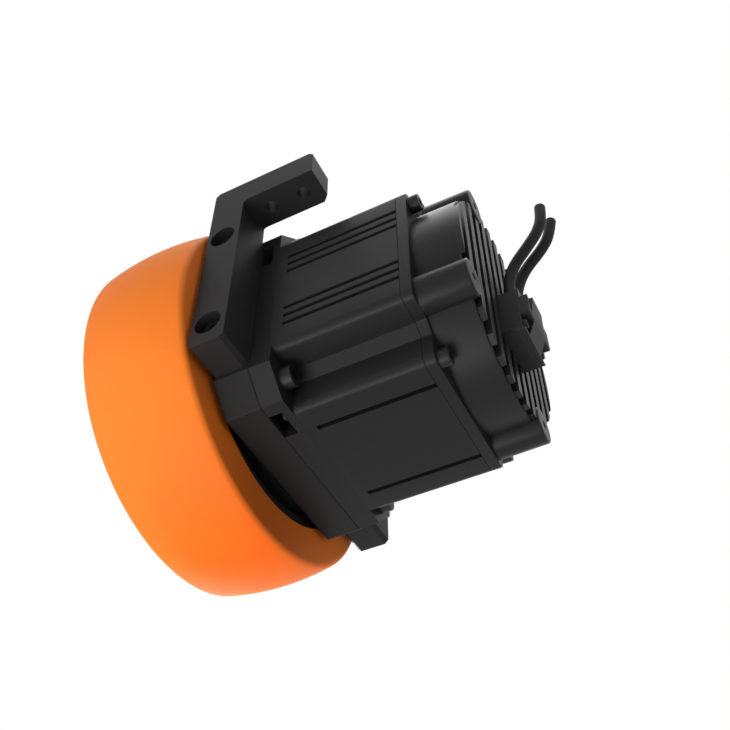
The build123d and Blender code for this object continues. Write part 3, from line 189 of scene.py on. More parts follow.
class HousingSizes(bpy.types.PropertyGroup):
    """Sizes of the motor housing."""
    side: length("Half width", 40.0, "From the axis to a side of the housing")
    flange: length("Flange thickness", 7.2, "Thickness of the front flange")
    flange_chamfer: length("Flange chamfer", 8.6, "Cut-off corners of the flange")
    length: length("Length", 49.2, "From the plate to the rear cover")
    pilot_play: length("Register play", 0.03, "How much the register is smaller than its seat in radius")
    pilot_gap: length("Register gap", 0.5, "Free depth of the seat in front of the register")
    bore: length("Bore", 34.0, "Radius of the bore for the stator")
    wall: length("Front wall", 11.0, "Where the bore ends at the front")
    bearing: length("Bearing seat", 16.03, "Radius of the front bearing's seat")
    bearing_start: length("Bearing place", 2.0, "Where the front bearing starts along the axis")
    notch: length("Screw channel", 13.6, "Side of the channel at each long corner")
    notch_chamfer: length("Channel bevel", 3.3, "Bevel in the root of the channel")
    notch_round: length("Channel edge", 2.8, "Radius of the channel's outer edges")
    slot_start: length("Slot start", 10.6, "Where the grooves begin")
    slot_depth: length("Slot depth", 2.4, "Depth of the grooves")
    slot_width: length("Slot width", 1.6, "Width of the grooves")
    single_slot: length("Single groove", 16.6, "From the axis to a groove above or below")
    group_slot: length("Groove group", 13.0, "From the axis to a group of three grooves")
    group_pitch: length("Groove pitch", 3.75, "Between neighbouring grooves of a group")
    screw_place: length("Flange screw place", 31.82, "Flange screw, across and up from the axis")
    tie_far: length("Long screw, far", 36.4, "Long screw, larger distance from the axis")
    tie_near: length("Long screw, near", 22.2, "Long screw, smaller distance from the axis")
    pocket_width: length("Pocket width", 9.6, "Width of the pockets in the flange")
    pocket_length: length("Pocket length", 4.5, "Length of the pockets along the axis")
    pocket_depth: length("Pocket depth", 6.5, "Depth of the pockets")


class CoverSizes(bpy.types.PropertyGroup):
    """Sizes of the finned rear cover."""
    flange: length("Flange thickness", 3.6, "Thickness of the square flange")
    radius: length("Foot radius", 38.5, "Radius of the round wall at the flange")
    rim_radius: length("Rim radius", 38.4, "Radius of the round wall at its rim")
    inner: length("Inner radius", 34.9, "Radius of the space inside")
    rim: length("Rim", 66.9, "Place of the wall's rim along the axis")
    rim_round: length("Rim rounding", 0.3, "Rounding of the rim")
    lip: length("Rim width", 2.2, "Width of the rim between the outside and the spaces of the fins")
    web: length("Web", 59.0, "Where the space inside ends along the axis")
    floor: length("Fin floor", 62.5, "Place of the floor between the fins")
    floor_round: length("Floor rounding", 0.5, "Rounding where the floor meets the rim")
    fin_top: length("Fin top", 68.75, "Place of the fins' tops")
    fin_pitch: length("Fin pitch", 6.3, "Between neighbouring fins")
    fin_thickness: length("Fin thickness", 3.1, "Thickness of a fin")
    fin_circle: length("Fin circle", 37.6, "Radius that the fins end on")
    fins_per_side: bpy.props.IntProperty(name="Fins per side", default=6, min=1,
                                         description="Fins on each side of the middle one")
    boss_circle: length("Boss circle", 38.5, "Radius of the circle of bosses")
    boss_base: length("Boss base", 6.1, "Radius of a boss at the flange")
    boss_tip: length("Boss tip", 5.9, "Radius of a boss at its end")
    boss_end: length("Boss end", 69.2, "Place of a boss's end along the axis")
    boss_round: length("Boss rounding", 0.6, "Rounding of a boss's end")
    boss_hole: length("Boss hole", 1.25, "Radius of the hole in a boss")
    boss_depth: length("Boss hole depth", 6.0, "Depth of the hole in a boss")
    hole_round: length("Boss hole edge", 0.2, "Rounding of the hole's edge")
    boss_angle: bpy.props.FloatProperty(name="Boss angle", default=math.radians(31.7),
                                        description="Turn of the first boss about the axis",
                                        subtype="ANGLE")


class PlugSizes(bpy.types.PropertyGroup):
    """Sizes of the connector on the rear cover."""
    width: length("Width", 18.3, "Width of the connector")
    height: length("Height", 18.9, "From its cable side to its other end")
    top: length("Top", -1.6, "Height of its cable side against the axis")
    seat: length("Seat", 67.7, "Place of its foot along the axis")
    room: length("Room", 0.3, "Free space round the connector and its neck")
    body: length("Body", 6.5, "Length of its body")
    neck: length("Neck", 13.0, "Width of its neck, which passes through the cover")
    neck_end: length("Neck end", 56.6, "Place of the neck's inner end along the axis")
    base: length("Lid base", 1.25, "Thickness of the lid beside its ridge")
    ridge: length("Ridge", 2.5, "Height of the ridge over the lid")
    ridge_inset: length("Ridge inset", 4.7, "From the cable side to the ridge")
    ridge_width: length("Ridge width", 7.4, "Width of the ridge")
    latch: length("Latch", 1.1, "Height of the latch on the ridge")
    latch_start: length("Latch start", 7.0, "Upright end of the latch, across")
    latch_width: length("Latch width", 8.0, "Width of the latch beside its slope")
    latch_slope: length("Latch slope", 4.0, "Width of the slope at the latch's other end")
    pocket: length("Pocket", 4.4, "Width of the screw pockets")
    edge: length("Edge", 0.6, "Bevel of its long edges")


class CableSizes(bpy.types.PropertyGroup):
    """Sizes of the two leads."""
    radius: length("Radius", 1.9, "Radius of a lead")
    place: length("Place", 3.5, "From the middle of the connector to a lead")
    play: length("Play", 0.1, "How much a lead is smaller than its hole in radius")
    entry: length("Entry", 1.6, "Depth of the holes for the leads")


class ScrewSizes(bpy.types.PropertyGroup):
    """Sizes of the screws."""
    m5: screw_lengths("M5 cap screw", (4.25, 5.0, 4.0, 2.5, 2.5, 16.0))
    m4: screw_lengths("M4 cap screw", (3.5, 4.0, 3.0, 2.0, 2.0, 16.0))
    m3: screw_lengths("M3 cap screw", (2.8, 3.5, 2.5, 1.8, 1.5, 50.55))
    flat: screw_lengths("M5 flat screw", (4.7, 2.2, 3.0, 1.5, 2.5, 12.0))
    pan_radius: length("Pan head", 1.6, "Radius of the lid's screws")
    pan_height: length("Pan head height", 1.3, "Height of the lid's screws")
    pan_reach: length("Pan screw length", 5.6, "Length of the lid's screws under the head")


class FinishColours(bpy.types.PropertyGroup):
    """Colours that change the look of the unit."""
    tread: colour("Tread", (0.92, 0.22, 0.02), "Polyurethane of the tyre")
    casting: colour("Castings", (0.016, 0.016, 0.0165), "Coated castings, plates and hub")
    screws: colour("Screws", (0.011, 0.011, 0.011), "Blackened screws")
    plastic: colour("Plastic", (0.010, 0.010, 0.0105), "Connector, cap and leads")


class UnitSettings(bpy.types.PropertyGroup):
    """Everything that can be set on the drive unit."""
    tyre: bpy.props.PointerProperty(type=TyreSizes)
    hub: bpy.props.PointerProperty(type=HubSizes)
    frame: bpy.props.PointerProperty(type=FrameSizes)
    housing: bpy.props.PointerProperty(type=HousingSizes)
    cover: bpy.props.PointerProperty(type=CoverSizes)
    plug: bpy.props.PointerProperty(type=PlugSizes)
    cables: bpy.props.PointerProperty(type=CableSizes)
    screws: bpy.props.PointerProperty(type=ScrewSizes)
    colours: bpy.props.PointerProperty(type=FinishColours)


def settings():
    """The sizes and colours of this scene."""
    return bpy.context.scene.drive_unit


def screw_of(kind):
    """The sizes of one kind of screw, with their names."""
    return Screw(*getattr(settings().screws, kind))


# Outlines: lists of points in two directions, joined end to end

def rounded(points, radii, steps=CORNER):
    """An outline with its corners rounded; one step makes a bevel instead."""
    if not hasattr(radii, "__len__"):
        radii = [radii] * len(points)
    corners = [Vector(point) for point in points]
    outline = []
    for i, (corner, radius) in enumerate(zip(corners, radii)):
        if radius == 0:
            outline.append(corner)
            continue
        back = (corners[i - 1] - corner).normalized()
        ahead = (corners[(i + 1) % len(corners)] - corner).normalized()
        half = back.angle(ahead) / 2
        centre = corner + (back + ahead).normalized() * radius / math.sin(half)
        first = corner + back * radius / math.tan(half) - centre
        last = corner + ahead * radius / math.tan(half) - centre
        turn = math.atan2(first.x * last.y - first.y * last.x, first.dot(last))
        outline += [centre + Matrix.Rotation(turn * k / steps, 2) @ first for k in range(steps + 1)]
    return outline


def bevelled(points, radii):
    """An outline with its corners cut off."""
    return rounded(points, radii, steps=1)


def box_outline(u0, u1, v0, v1):
    """The four corners of a rectangle."""
    return [(u0, v0), (u1, v0), (u1, v1), (u0, v1)]


def square(half):
    """The four corners of a square about the axis."""
    return box_outline(-half, half, -half, half)


def span(sign, first, last):
    """The lower and the upper end of a stretch on one side of the axis."""
    return sorted((sign * first, sign * last))


def motor_section():
    """A square with a screw channel at each corner, bevelled inside and rounded outside."""
    size = settings().housing
    inner = size.side - size.notch
    points = []
    for k in range(4):
        turn = Matrix.Rotation(k * math.pi / 2, 2)
        points += [turn @ Vector(point) for point in ((size.side, inner), (inner, inner), (inner, size.side))]
    outline = rounded(points, [size.notch_round, 0, size.notch_round] * 4)
    root = inner * math.sqrt(2)
    return bevelled(outline, [size.notch_chamfer if abs(point.length - root) < SAME_PLACE else 0
                              for point in outline])


# Meshes

AXES = {
    "X": lambda u, v, t: (t, u, v),
    "Y": lambda u, v, t: (u, t, v),
    "Z": lambda u, v, t: (u, v, t),
}


def new_object(name, data):
    """An object at the origin with its mesh, curve, lamp or camera."""
    obj = bpy.data.objects.new(name, data)
    bpy.context.scene.collection.objects.link(obj)
    return obj


def from_faces(name, points, faces):
    """An object with doubles merged and its faces turned outwards."""
    mesh = bpy.data.meshes.new(name)
    mesh.from_pydata(points, [], faces)
    draft = bmesh.new()
    draft.from_mesh(mesh)
    bmesh.ops.remove_doubles(draft, verts=draft.verts, dist=DOUBLES)
    bmesh.ops.recalc_face_normals(draft, faces=draft.faces)
    draft.to_mesh(mesh)
    draft.free()
    return new_object(name, mesh)


def prism(name, outline, low, high, axis="Y"):
    """A closed bar with the outline as its section."""
    count = len(outline)
    points = [AXES[axis](u, v, low) for u, v in outline] + [AXES[axis](u, v, high) for u, v in outline]
    faces = [list(range(count)), list(range(2 * count - 1, count - 1, -1))]
    faces += [[i, (i + 1) % count, count + (i + 1) % count, count + i] for i in range(count)]
    return from_faces(name, points, faces)


def turned(name, profile, steps=FINE, centre=(0, 0)):
    """A closed profile of radius and y, turned about a line parallel to the wheel axis."""
    count = len(profile)
    points = []
    for k in range(steps):
        angle = 2 * math.pi * k / steps
        points += [(centre[0] + r * math.cos(angle), y, centre[1] + r * math.sin(angle)) for r, y in profile]
    faces = []
    for k in range(steps):
        here = k * count
        there = (k + 1) % steps * count
        faces += [[here + i, here + (i + 1) % count, there + (i + 1) % count, there + i]
                  for i in range(count)]
    return from_faces(name, points, faces)


def drill(radius, low, high, place, axis="Y", steps=SMALL):
    """A round cutter along an axis; place is its centre in the two other directions."""
    circle = [(place[0] + radius * math.cos(2 * math.pi * k / steps),
               place[1] + radius * math.sin(2 * math.pi * k / steps)) for k in range(steps)]
    return prism("cutter", circle, low, high, axis)


def bore(radius, low, high):
    """A fine round cutter on the wheel axis."""
    return drill(radius, low, high, (0, 0), steps=FINE)


def bake(obj):
    """Turns an object with its modifiers into a plain mesh."""
    evaluated = obj.evaluated_get(bpy.context.evaluated_depsgraph_get())
    old = obj.data
    obj.data = bpy.data.meshes.new_from_object(evaluated)
    obj.modifiers.clear()
    bpy.data.meshes.remove(old)
    return obj


def remove(obj):
    """Deletes a helper object and its mesh."""
    mesh = obj.data
    bpy.data.objects.remove(obj)
    if mesh is not None:
        bpy.data.meshes.remove(mesh)


def carve(obj, cutters, operation="DIFFERENCE"):
    """Cuts the cutters from an object, or keeps or adds them, and deletes them."""
    for cutter in cutters:
        step = obj.modifiers.new("cut", "BOOLEAN")
        step.operation = operation
        step.object = cutter
        step.solver = "EXACT"
    bake(obj)
    for cutter in cutters:
        remove(cutter)
    return obj


def joined(name, objects):
    """One object with the meshes of several, which are deleted."""
    draft = bmesh.new()
    for obj in objects:
        draft.from_mesh(obj.data)
        remove(obj)
    mesh = bpy.data.meshes.new(name)
    draft.to_mesh(mesh)
    draft.free()
    return new_object(name, mesh)


def shade(obj):
    """Smooth shading with hard edges where faces meet steeply."""
    obj.data.shade_smooth()
    obj.data.set_sharp_from_angle(angle=SHARP)
    return obj


def soften(obj, width, steps=3):
    """Rounds the hard edges of an object."""
    obj.data.shade_smooth()
    bevel = obj.modifiers.new("edges", "BEVEL")
    bevel.width = width
    bevel.segments = steps
    bevel.limit_method = "ANGLE"
    bevel.angle_limit = SHARP
    bevel.harden_normals = True
    bevel.miter_outer = "MITER_ARC"
    return bake(obj)


def settle(obj, body, slot, node):
    """Moves a finished piece to its place, colours it, ties it to its body and hides the CAD node it stands
    for.
    """
    obj.data.transform(Matrix.Translation(PLACE))
    obj.data.materials.clear()
    obj.data.materials.append(finish(slot))
    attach(obj, body)
    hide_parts(node)


# Node trees

def feed(tree, node, inputs):
    """Sets or links the inputs of a node; another node stands for its first output."""
    for name, value in inputs.items():
        if isinstance(value, bpy.types.Node):
            value = value.outputs[0]
        if isinstance(value, bpy.types.NodeSocket):
            tree.links.new(value, node.inputs[name])
        else:
            node.inputs[name].default_value = value
    return node


def add_node(tree, kind, inputs=None, **options):
    """A new node with its options and inputs."""
    node = tree.nodes.new(kind)
    for name, value in options.items():
        setattr(node, name, value)
    return feed(tree, node, inputs or {})


def calculate(tree, operation, *values):
    """A math node on values or outputs."""
    return add_node(tree, "ShaderNodeMath", dict(enumerate(values)), operation=operation)


def vector(tree, x=0.0, y=0.0, z=0.0):
    """A node that makes a vector of values or outputs."""
    return add_node(tree, "ShaderNodeCombineXYZ", {"X": x, "Y": y, "Z": z})


# Geometry Nodes

def new_tree(name, inputs):
    """A tree with named inputs and a geometry output, and the outputs of its first node."""
    tree = bpy.data.node_groups.new(name, "GeometryNodeTree")
    for label, kind in inputs.items():
        tree.interface.new_socket(label, in_out="INPUT", socket_type="NodeSocket" + kind)
    tree.interface.new_socket("Geometry", in_out="OUTPUT", socket_type="NodeSocketGeometry")
    return tree, tree.nodes.new("NodeGroupInput").outputs


def end_tree(tree, geometry, material):
    """Closes a tree: everything real, with its material."""
    real = add_node(tree, "GeometryNodeRealizeInstances", {"Geometry": geometry})
    paint = add_node(tree, "GeometryNodeSetMaterial", {"Geometry": real, "Material": material})
    add_node(tree, "NodeGroupOutput", {"Geometry": paint})


def grow(obj, tree, values):
    """Runs a tree on an object and keeps the plain mesh."""
    step = obj.modifiers.new(tree.name, "NODES")
    step.node_group = tree
    for item in tree.interface.items_tree:
        if item.name in values:
            step[item.identifier] = values[item.name]
    return bake(obj)


def copies_tree():
    """Puts one piece on every point of a mesh, turned by the point's own attribute."""
    name = "Copies on points"
    if name in bpy.data.node_groups:
        return bpy.data.node_groups[name]
    tree, given = new_tree(name, {"Points": "Geometry", "Piece": "Object", "Material": "Material"})
    piece = add_node(tree, "GeometryNodeObjectInfo", {"Object": given["Piece"]})
    turn = add_node(tree, "GeometryNodeInputNamedAttribute", {"Name": "turn"}, data_type="FLOAT_VECTOR")
    rotation = add_node(tree, "FunctionNodeEulerToRotation", {"Euler": turn.outputs["Attribute"]})
    spread = add_node(tree, "GeometryNodeInstanceOnPoints", {
        "Points": given["Points"], "Instance": piece.outputs["Geometry"], "Rotation": rotation})
    end_tree(tree, spread, given["Material"])
    return tree


def copies(name, piece, places, slot):
    """Copies of a piece at places with turns, as one plain mesh; the piece is deleted."""
    mesh = bpy.data.meshes.new(name)
    mesh.from_pydata([place for place, turn in places], [], [])
    turns = mesh.attributes.new("turn", "FLOAT_VECTOR", "POINT")
    for i, (place, turn) in enumerate(places):
        turns.data[i].vector = turn
    obj = grow(new_object(name, mesh), copies_tree(), {"Piece": piece, "Material": finish(slot)})
    remove(piece)
    return obj


def fins_tree():
    """A row of upright fins, cut to a circle."""
    tree, given = new_tree("Fins in a circle", {
        "Geometry": "Geometry", "Count": "Int", "Pitch": "Float", "Thickness": "Float", "Circle": "Float",
        "Floor": "Float", "Top": "Float", "Material": "Material"})
    height = calculate(tree, "SUBTRACT", given["Top"], given["Floor"])
    middle = calculate(tree, "MULTIPLY", calculate(tree, "ADD", given["Top"], given["Floor"]), 0.5)
    first = calculate(tree, "MULTIPLY", calculate(tree, "SUBTRACT", given["Count"], 1),
                      calculate(tree, "MULTIPLY", given["Pitch"], -0.5))
    row = add_node(tree, "GeometryNodeMeshLine", {
        "Count": given["Count"], "Start Location": vector(tree, x=first, y=middle),
        "Offset": vector(tree, x=given["Pitch"])})
    reach = calculate(tree, "MULTIPLY", given["Circle"], FIN_REACH)
    fin = add_node(tree, "GeometryNodeMeshCube", {"Size": vector(tree, given["Thickness"], height, reach)})
    spread = add_node(tree, "GeometryNodeInstanceOnPoints", {"Points": row, "Instance": fin})
    real = add_node(tree, "GeometryNodeRealizeInstances", {"Geometry": spread})
    disc = add_node(tree, "GeometryNodeMeshCylinder", {
        "Vertices": FINE, "Radius": given["Circle"], "Depth": calculate(tree, "MULTIPLY", height, 2.0)})
    upright = add_node(tree, "GeometryNodeTransform", {
        "Geometry": disc, "Rotation": (math.pi / 2, 0, 0), "Translation": vector(tree, y=middle)})
    cut = add_node(tree, "GeometryNodeMeshBoolean", {"Mesh 2": real}, operation="INTERSECT")
    end_tree(tree, feed(tree, cut, {"Mesh 2": upright}), given["Material"])
    return tree


# Screws point along y with the underside of the head, or the face of a flat head, at y = 0

TIP_ROUND = 0.15            # rounding of a screw's end, as a share of the shank's radius
CAP_ROUND = 0.1             # rounding of a cap screw's head, as a share of its height
FLAT_ROUND = 0.08           # the same for a flat screw
DOME_ROUND = 0.5            # the same for a small screw with a domed head
CROSS_ARM = 0.6             # half length of a cross recess, as a share of the head's radius
CROSS_WIDTH = 0.14          # its half width


def hexagon(flats):
    """Outline of a hexagon socket."""
    corner = flats / math.sqrt(3)
    return [(corner * math.cos(math.pi * k / 3), corner * math.sin(math.pi * k / 3)) for k in range(6)]


def headed(radius, height, shank, reach):
    """Profile of a screw with a round head on its shank."""
    return [(0, -reach), (shank, -reach), (shank, 0), (radius, 0), (radius, height), (0, height)]


def cap_screw(size):
    """Cap screw with a hexagon socket."""
    profile = headed(size.head, size.height, size.shank, size.reach)
    radii = [0, size.shank * TIP_ROUND, 0, 0, size.height * CAP_ROUND, 0]
    screw = turned("screw", rounded(profile, radii, steps=4), SMALL)
    socket = prism("cutter", hexagon(size.flats), size.height - size.depth, size.height + OVER)
    return shade(carve(screw, [socket]))


def flat_screw(size):
    """Countersunk screw with a hexagon socket; its shank points to positive y."""
    profile = [(0, 0), (size.head, 0), (size.shank, size.height), (size.shank, size.reach), (0, size.reach)]
    radii = [0, size.height * FLAT_ROUND, 0, size.shank * TIP_ROUND, 0]
    screw = turned("screw", rounded(profile, radii, steps=3), SMALL)
    return shade(carve(screw, [prism("cutter", hexagon(size.flats), -size.height, size.depth)]))


def pan_screw(radius, height, reach):
    """Small screw with a domed head and a cross recess."""
    profile = headed(radius, height, radius / 2, reach)
    screw = turned("screw", rounded(profile, [0, 0, 0, 0, height * DOME_ROUND, 0]), SMALL)
    arm = radius * CROSS_ARM
    width = radius * CROSS_WIDTH
    cutters = [prism("cutter", box_outline(-a, a, -b, b), height / 2, height + OVER)
               for a, b in ((arm, width), (width, arm))]
    return shade(carve(screw, cutters))


def round_places(count, place, turn=0.0):
    """Places evenly round the wheel axis, each with a turn more than the last."""
    return [(Matrix.Rotation(2 * math.pi * k / count, 3, "Y") @ Vector(place), (0, turn * k, 0))
            for k in range(count)]


def settle_screws(name, screw, places, body, node):
    """Sets copies of a screw at their places and deletes the screw."""
    settle(copies(name, screw, places, "black_screws"), body, "black_screws", node)


# Finishes

def own_tree(owner):
    """Turns on the nodes of a material or a world and gives its tree."""
    owner.use_nodes = True
    return owner.node_tree


def grain_group():
    """Fine grain over a surface: a roughness that varies a little, and a height for a bump."""
    name = "Surface grain"
    if name in bpy.data.node_groups:
        return bpy.data.node_groups[name]
    tree = bpy.data.node_groups.new(name, "ShaderNodeTree")
    for label, default in (("Scale", 900.0), ("Roughness", 0.5), ("Spread", 0.1)):
        socket = tree.interface.new_socket(label, in_out="INPUT", socket_type="NodeSocketFloat")
        socket.default_value = default
    for label in ("Roughness", "Height"):
        tree.interface.new_socket(label, in_out="OUTPUT", socket_type="NodeSocketFloat")
    given = tree.nodes.new("NodeGroupInput").outputs
    place = add_node(tree, "ShaderNodeTexCoord").outputs["Object"]
    noise = add_node(tree, "ShaderNodeTexNoise", {"Vector": place, "Scale": given["Scale"], "Detail": 3.0})
    centred = calculate(tree, "SUBTRACT", noise, 0.5)
    roughness = calculate(tree, "MULTIPLY_ADD", centred, given["Spread"], given["Roughness"])
    add_node(tree, "NodeGroupOutput", {"Roughness": roughness, "Height": noise})
    return tree


# For each finish: its colour, or the colour setting it takes; roughness; metallic; grain scale in
# cycles per metre; spread of the roughness; strength of the bump; specular level
FINISHES = {
    "black_casting": ("casting", 0.38, 0.0, 1800.0, 0.12, 0.10, 0.11),
    "black_anodised": ("casting", 0.48, 0.0, 2600.0, 0.08, 0.05, 0.10),
    "hub_cap_plastic": ("plastic", 0.5, 0.0, 1500.0, 0.10, 0.05, 0.3),
    "polyurethane": ("tread", 0.6, 0.0, 500.0, 0.06, 0.03, 0.2),
    "black_screws": ("screws", 0.42, 0.0, 1500.0, 0.10, 0.04, 0.2),
    "steel": ((0.50, 0.50, 0.51), 0.36, 1.0, 900.0, 0.12, 0.03, 0.5),
    "blackened_steel": ((0.008, 0.008, 0.009), 0.6, 0.0, 900.0, 0.10, 0.04, 0.05),
    "bearing_steel": ((0.62, 0.62, 0.63), 0.2, 1.0, 900.0, 0.06, 0.01, 0.5),
    "seal_rubber": ((0.015, 0.015, 0.015), 0.7, 0.0, 900.0, 0.10, 0.05, 0.3),
    "copper": ((0.72, 0.33, 0.16), 0.35, 1.0, 2500.0, 0.12, 0.05, 0.5),
    "magnet_coating": ((0.42, 0.42, 0.43), 0.4, 1.0, 900.0, 0.10, 0.02, 0.5),
    "circuit_board": ((0.012, 0.10, 0.04), 0.4, 0.0, 900.0, 0.08, 0.02, 0.5),
    "component_plastic": ((0.014, 0.014, 0.015), 0.6, 0.0, 1500.0, 0.08, 0.03, 0.4),
    "capacitor_sleeve": ((0.02, 0.02, 0.035), 0.35, 0.0, 900.0, 0.06, 0.02, 0.5),
    "spacer_brass": ((0.70, 0.52, 0.22), 0.35, 1.0, 900.0, 0.10, 0.02, 0.5),
    "connector_plastic": ("plastic", 0.5, 0.0, 1800.0, 0.10, 0.08, 0.24),
    "cable_sleeve": ("plastic", 0.6, 0.0, 1200.0, 0.10, 0.04, 0.16),
}

# CAD nodes that are seen with another finish than that of their material slot
SEEN_FINISH = {"ring_gear": "blackened_steel"}
GRAIN_HEIGHT = 0.0002       # height of the grain in a bump, in metres


def finish(name):
    """A procedural material, built once."""
    label = "finish_" + name
    if label in bpy.data.materials:
        return bpy.data.materials[label]
    tint, roughness, metallic, scale, spread, bump, specular = FINISHES[name]
    if isinstance(tint, str):
        tint = getattr(settings().colours, tint)
    material = bpy.data.materials.new(label)
    tree = own_tree(material)
    grain = add_node(tree, "ShaderNodeGroup", node_tree=grain_group())
    feed(tree, grain, {"Scale": scale, "Roughness": roughness, "Spread": spread})
    relief = add_node(tree, "ShaderNodeBump", {
        "Strength": bump, "Distance": GRAIN_HEIGHT, "Height": grain.outputs["Height"]})
    feed(tree, tree.nodes["Principled BSDF"], {
        "Base Color": (*tint, 1.0), "Metallic": metallic, "Specular IOR Level": specular,
        "Roughness": grain.outputs["Roughness"], "Normal": relief})
    return material


# Operators

class DRIVE_OT_frame(bpy.types.Operator):
    """Gives every CAD node the finish that it is seen with"""
    bl_idname = "drive.frame"
    bl_label = "Finish the frame"

    def execute(self, context):
        for part in frame["record"]["subparts"]:
            materials = frame["nodes"][part["node"]].data.materials
            materials.clear()
            materials.append(finish(SEEN_FINISH.get(part["node"], part["material_slot"])))
        return {"FINISHED"}


class DRIVE_OT_tyre(bpy.types.Operator):
    """Turns the crowned tread"""
    bl_idname = "drive.tyre"
    bl_label = "Tyre"

    def execute(self, context):
        size = settings().tyre
        inner = settings().hub.radius
        edge = size.radius - size.crown
        middle = (TYRE_INNER + TYRE_OUTER) / 2
        half = (TYRE_INNER - TYRE_OUTER) / 2
        bow = (half ** 2 + size.crown ** 2) / (2 * size.crown)
        first = TYRE_OUTER + size.bow_start * size.outer_round
        last = TYRE_INNER - size.bow_start * size.inner_round
        tread = []
        for k in range(TREAD_STEPS + 1):
            y = first + (last - first) * k / TREAD_STEPS
            tread.append((size.radius - bow + math.sqrt(bow ** 2 - (y - middle) ** 2), y))
        profile = [(inner, TYRE_INNER), (inner, TYRE_OUTER), (edge, TYRE_OUTER), *tread, (edge, TYRE_INNER)]
        radii = [0, 0, size.outer_round] + [0] * len(tread) + [size.inner_round]
        tyre = turned("tyre_tread", rounded(profile, radii, SHOULDER_STEPS))
        settle(shade(tyre), "wheel", "polyurethane", "tyre")
        return {"FINISHED"}


class DRIVE_OT_hub(bpy.types.Operator):
    """Turns the rim with its web, the cap and the screws of the hub"""
    bl_idname = "drive.hub"
    bl_label = "Hub and cap"

    def execute(self, context):
        size = settings().hub
        rim = TYRE_INNER - size.inset
        face = size.web_outer
        step = size.recess
        profile = [(size.spigot, size.web_inner), (size.bore, size.web_inner), (size.bore, rim),
                   (size.radius, rim), (size.radius, face), (size.recess_outer + step, face),
                   (size.recess_outer, face + step), (size.recess_inner, face + step),
                   (size.recess_inner - step, face), (size.spigot, face)]
        radii = [0, size.root, BODY_EDGE, 0, 0] + [BODY_EDGE] * 5
        hub = turned("hub_rim", rounded(profile, radii, steps=4))
        flat = screw_of("flat")
        through = 2 * (size.web_inner - face)
        sink = [(0, -OVER), (flat.head, -OVER), (flat.head, 0), (flat.shank, flat.height),
                (flat.shank, through), (0, through)]
        places = round_places(size.screw_count, (0, face, size.screw_circle), HUB_TURN)
        holes = copies("cutters", turned("cutter", sink, SMALL), places, "black_anodised")
        settle(shade(carve(hub, [holes])), "wheel", "black_anodised", "hub")

        top = face - size.cap_height
        tip = face + size.cap_plug
        profile = [(0, top), (size.cap, top), (size.cap, face), (size.spigot, face), (size.spigot, tip),
                   (0, tip)]
        cap = turned("hub_cap_disc", rounded(profile, [0, size.cap_height / 2, 0, 0, 0, 0]))
        settle(shade(cap), "wheel", "hub_cap_plastic", "hub_cap")
        settle_screws("hub_flat_screws", flat_screw(flat), places, "wheel", "hub_screws")
        return {"FINISHED"}


class DRIVE_OT_brackets(bpy.types.Operator):
    """Makes the mounting plate and its two brackets"""
    bl_idname = "drive.brackets"
    bl_label = "Plate and brackets"

    def execute(self, context):
        size = settings().frame
        side = size.plate_side
        plate = prism("plate", bevelled(square(side), size.plate_chamfer), PLATE_FRONT, 0)
        leg_screw = screw_of("m5")
        thread = side - (leg_screw.reach - size.leg + size.bore_depth)
        motor = settings().housing.screw_place
        cutters = [bore(size.seal, PLATE_FRONT - OVER, OVER)]
        for sx, sz in CORNERS:
            cutters.append(drill(screw_of("m4").shank, PLATE_FRONT - OVER, OVER, (sx * motor, sz * motor)))
            cutters.append(drill(leg_screw.shank, *span(sx, thread, side + OVER),
                                 (-size.screw_inset, sz * size.screw_z), "X"))
        carve(plate, [joined("cutters", cutters)])
        carve(plate, [bore(size.pilot, -size.pilot_depth, OVER)])
        settle(soften(plate, PLATE_EDGE), "frame", "black_anodised", "mounting_plate")
        for name, node, sign in (("bracket_near", "bracket_right", 1), ("bracket_far", "bracket_left", -1)):
            settle(self.bracket(name, sign), "frame", "black_anodised", node)
        return {"FINISHED"}

    def bracket(self, name, sign):
        """A leg beside the plate with an arm to the rear, and its holes."""
        size = settings().frame
        inner = size.plate_side
        outer = inner + size.leg
        arm_inner = outer - size.arm_width
        under = size.top - size.arm_height
        far = 2 * outer
        profile = [(PLATE_FRONT, -size.leg_below), (0, -size.leg_below), (0, under), (size.arm, under),
                   (size.arm, size.top), (PLATE_FRONT, size.top)]
        outline = bevelled(profile, [size.chamfer, size.chamfer, 0, 0, size.chamfer, size.chamfer])
        root = Vector((0, under))
        radii = [size.fillet if (point - root).length < SAME_PLACE else 0 for point in outline]
        body = prism(name, rounded(outline, radii), *span(sign, inner, outer), "X")
        cutters = [prism("cutter", box_outline(*span(sign, 0, arm_inner), 0, far), -far, far, "Z")]
        for z in (size.screw_z, -size.screw_z):
            for radius, start in ((size.leg_hole, inner - OVER), (size.bore_radius, outer - size.bore_depth)):
                cutters.append(drill(radius, *span(sign, start, outer + OVER), (-size.screw_inset, z), "X"))
        for y in (size.hole_y, size.hole_y + size.hole_pitch):
            cutters.append(drill(size.hole_radius, under - OVER, size.top + OVER,
                                 (sign * size.hole_x, y), "Z"))
        carve(body, cutters)
        bevels = [0, 0, 0, size.arm_bevel] if sign > 0 else [0, 0, size.arm_bevel, 0]
        end = bevelled(box_outline(*span(sign, arm_inner, outer), -far, size.arm), bevels)
        arm = prism("arm", end, -far, far, "Z")
        leg = prism("leg", box_outline(*span(sign, inner, outer), -far, OVER / 2), -far, far, "Z")
        carve(body, [carve(arm, [leg], "UNION")], "INTERSECT")
        return soften(body, PLATE_EDGE)


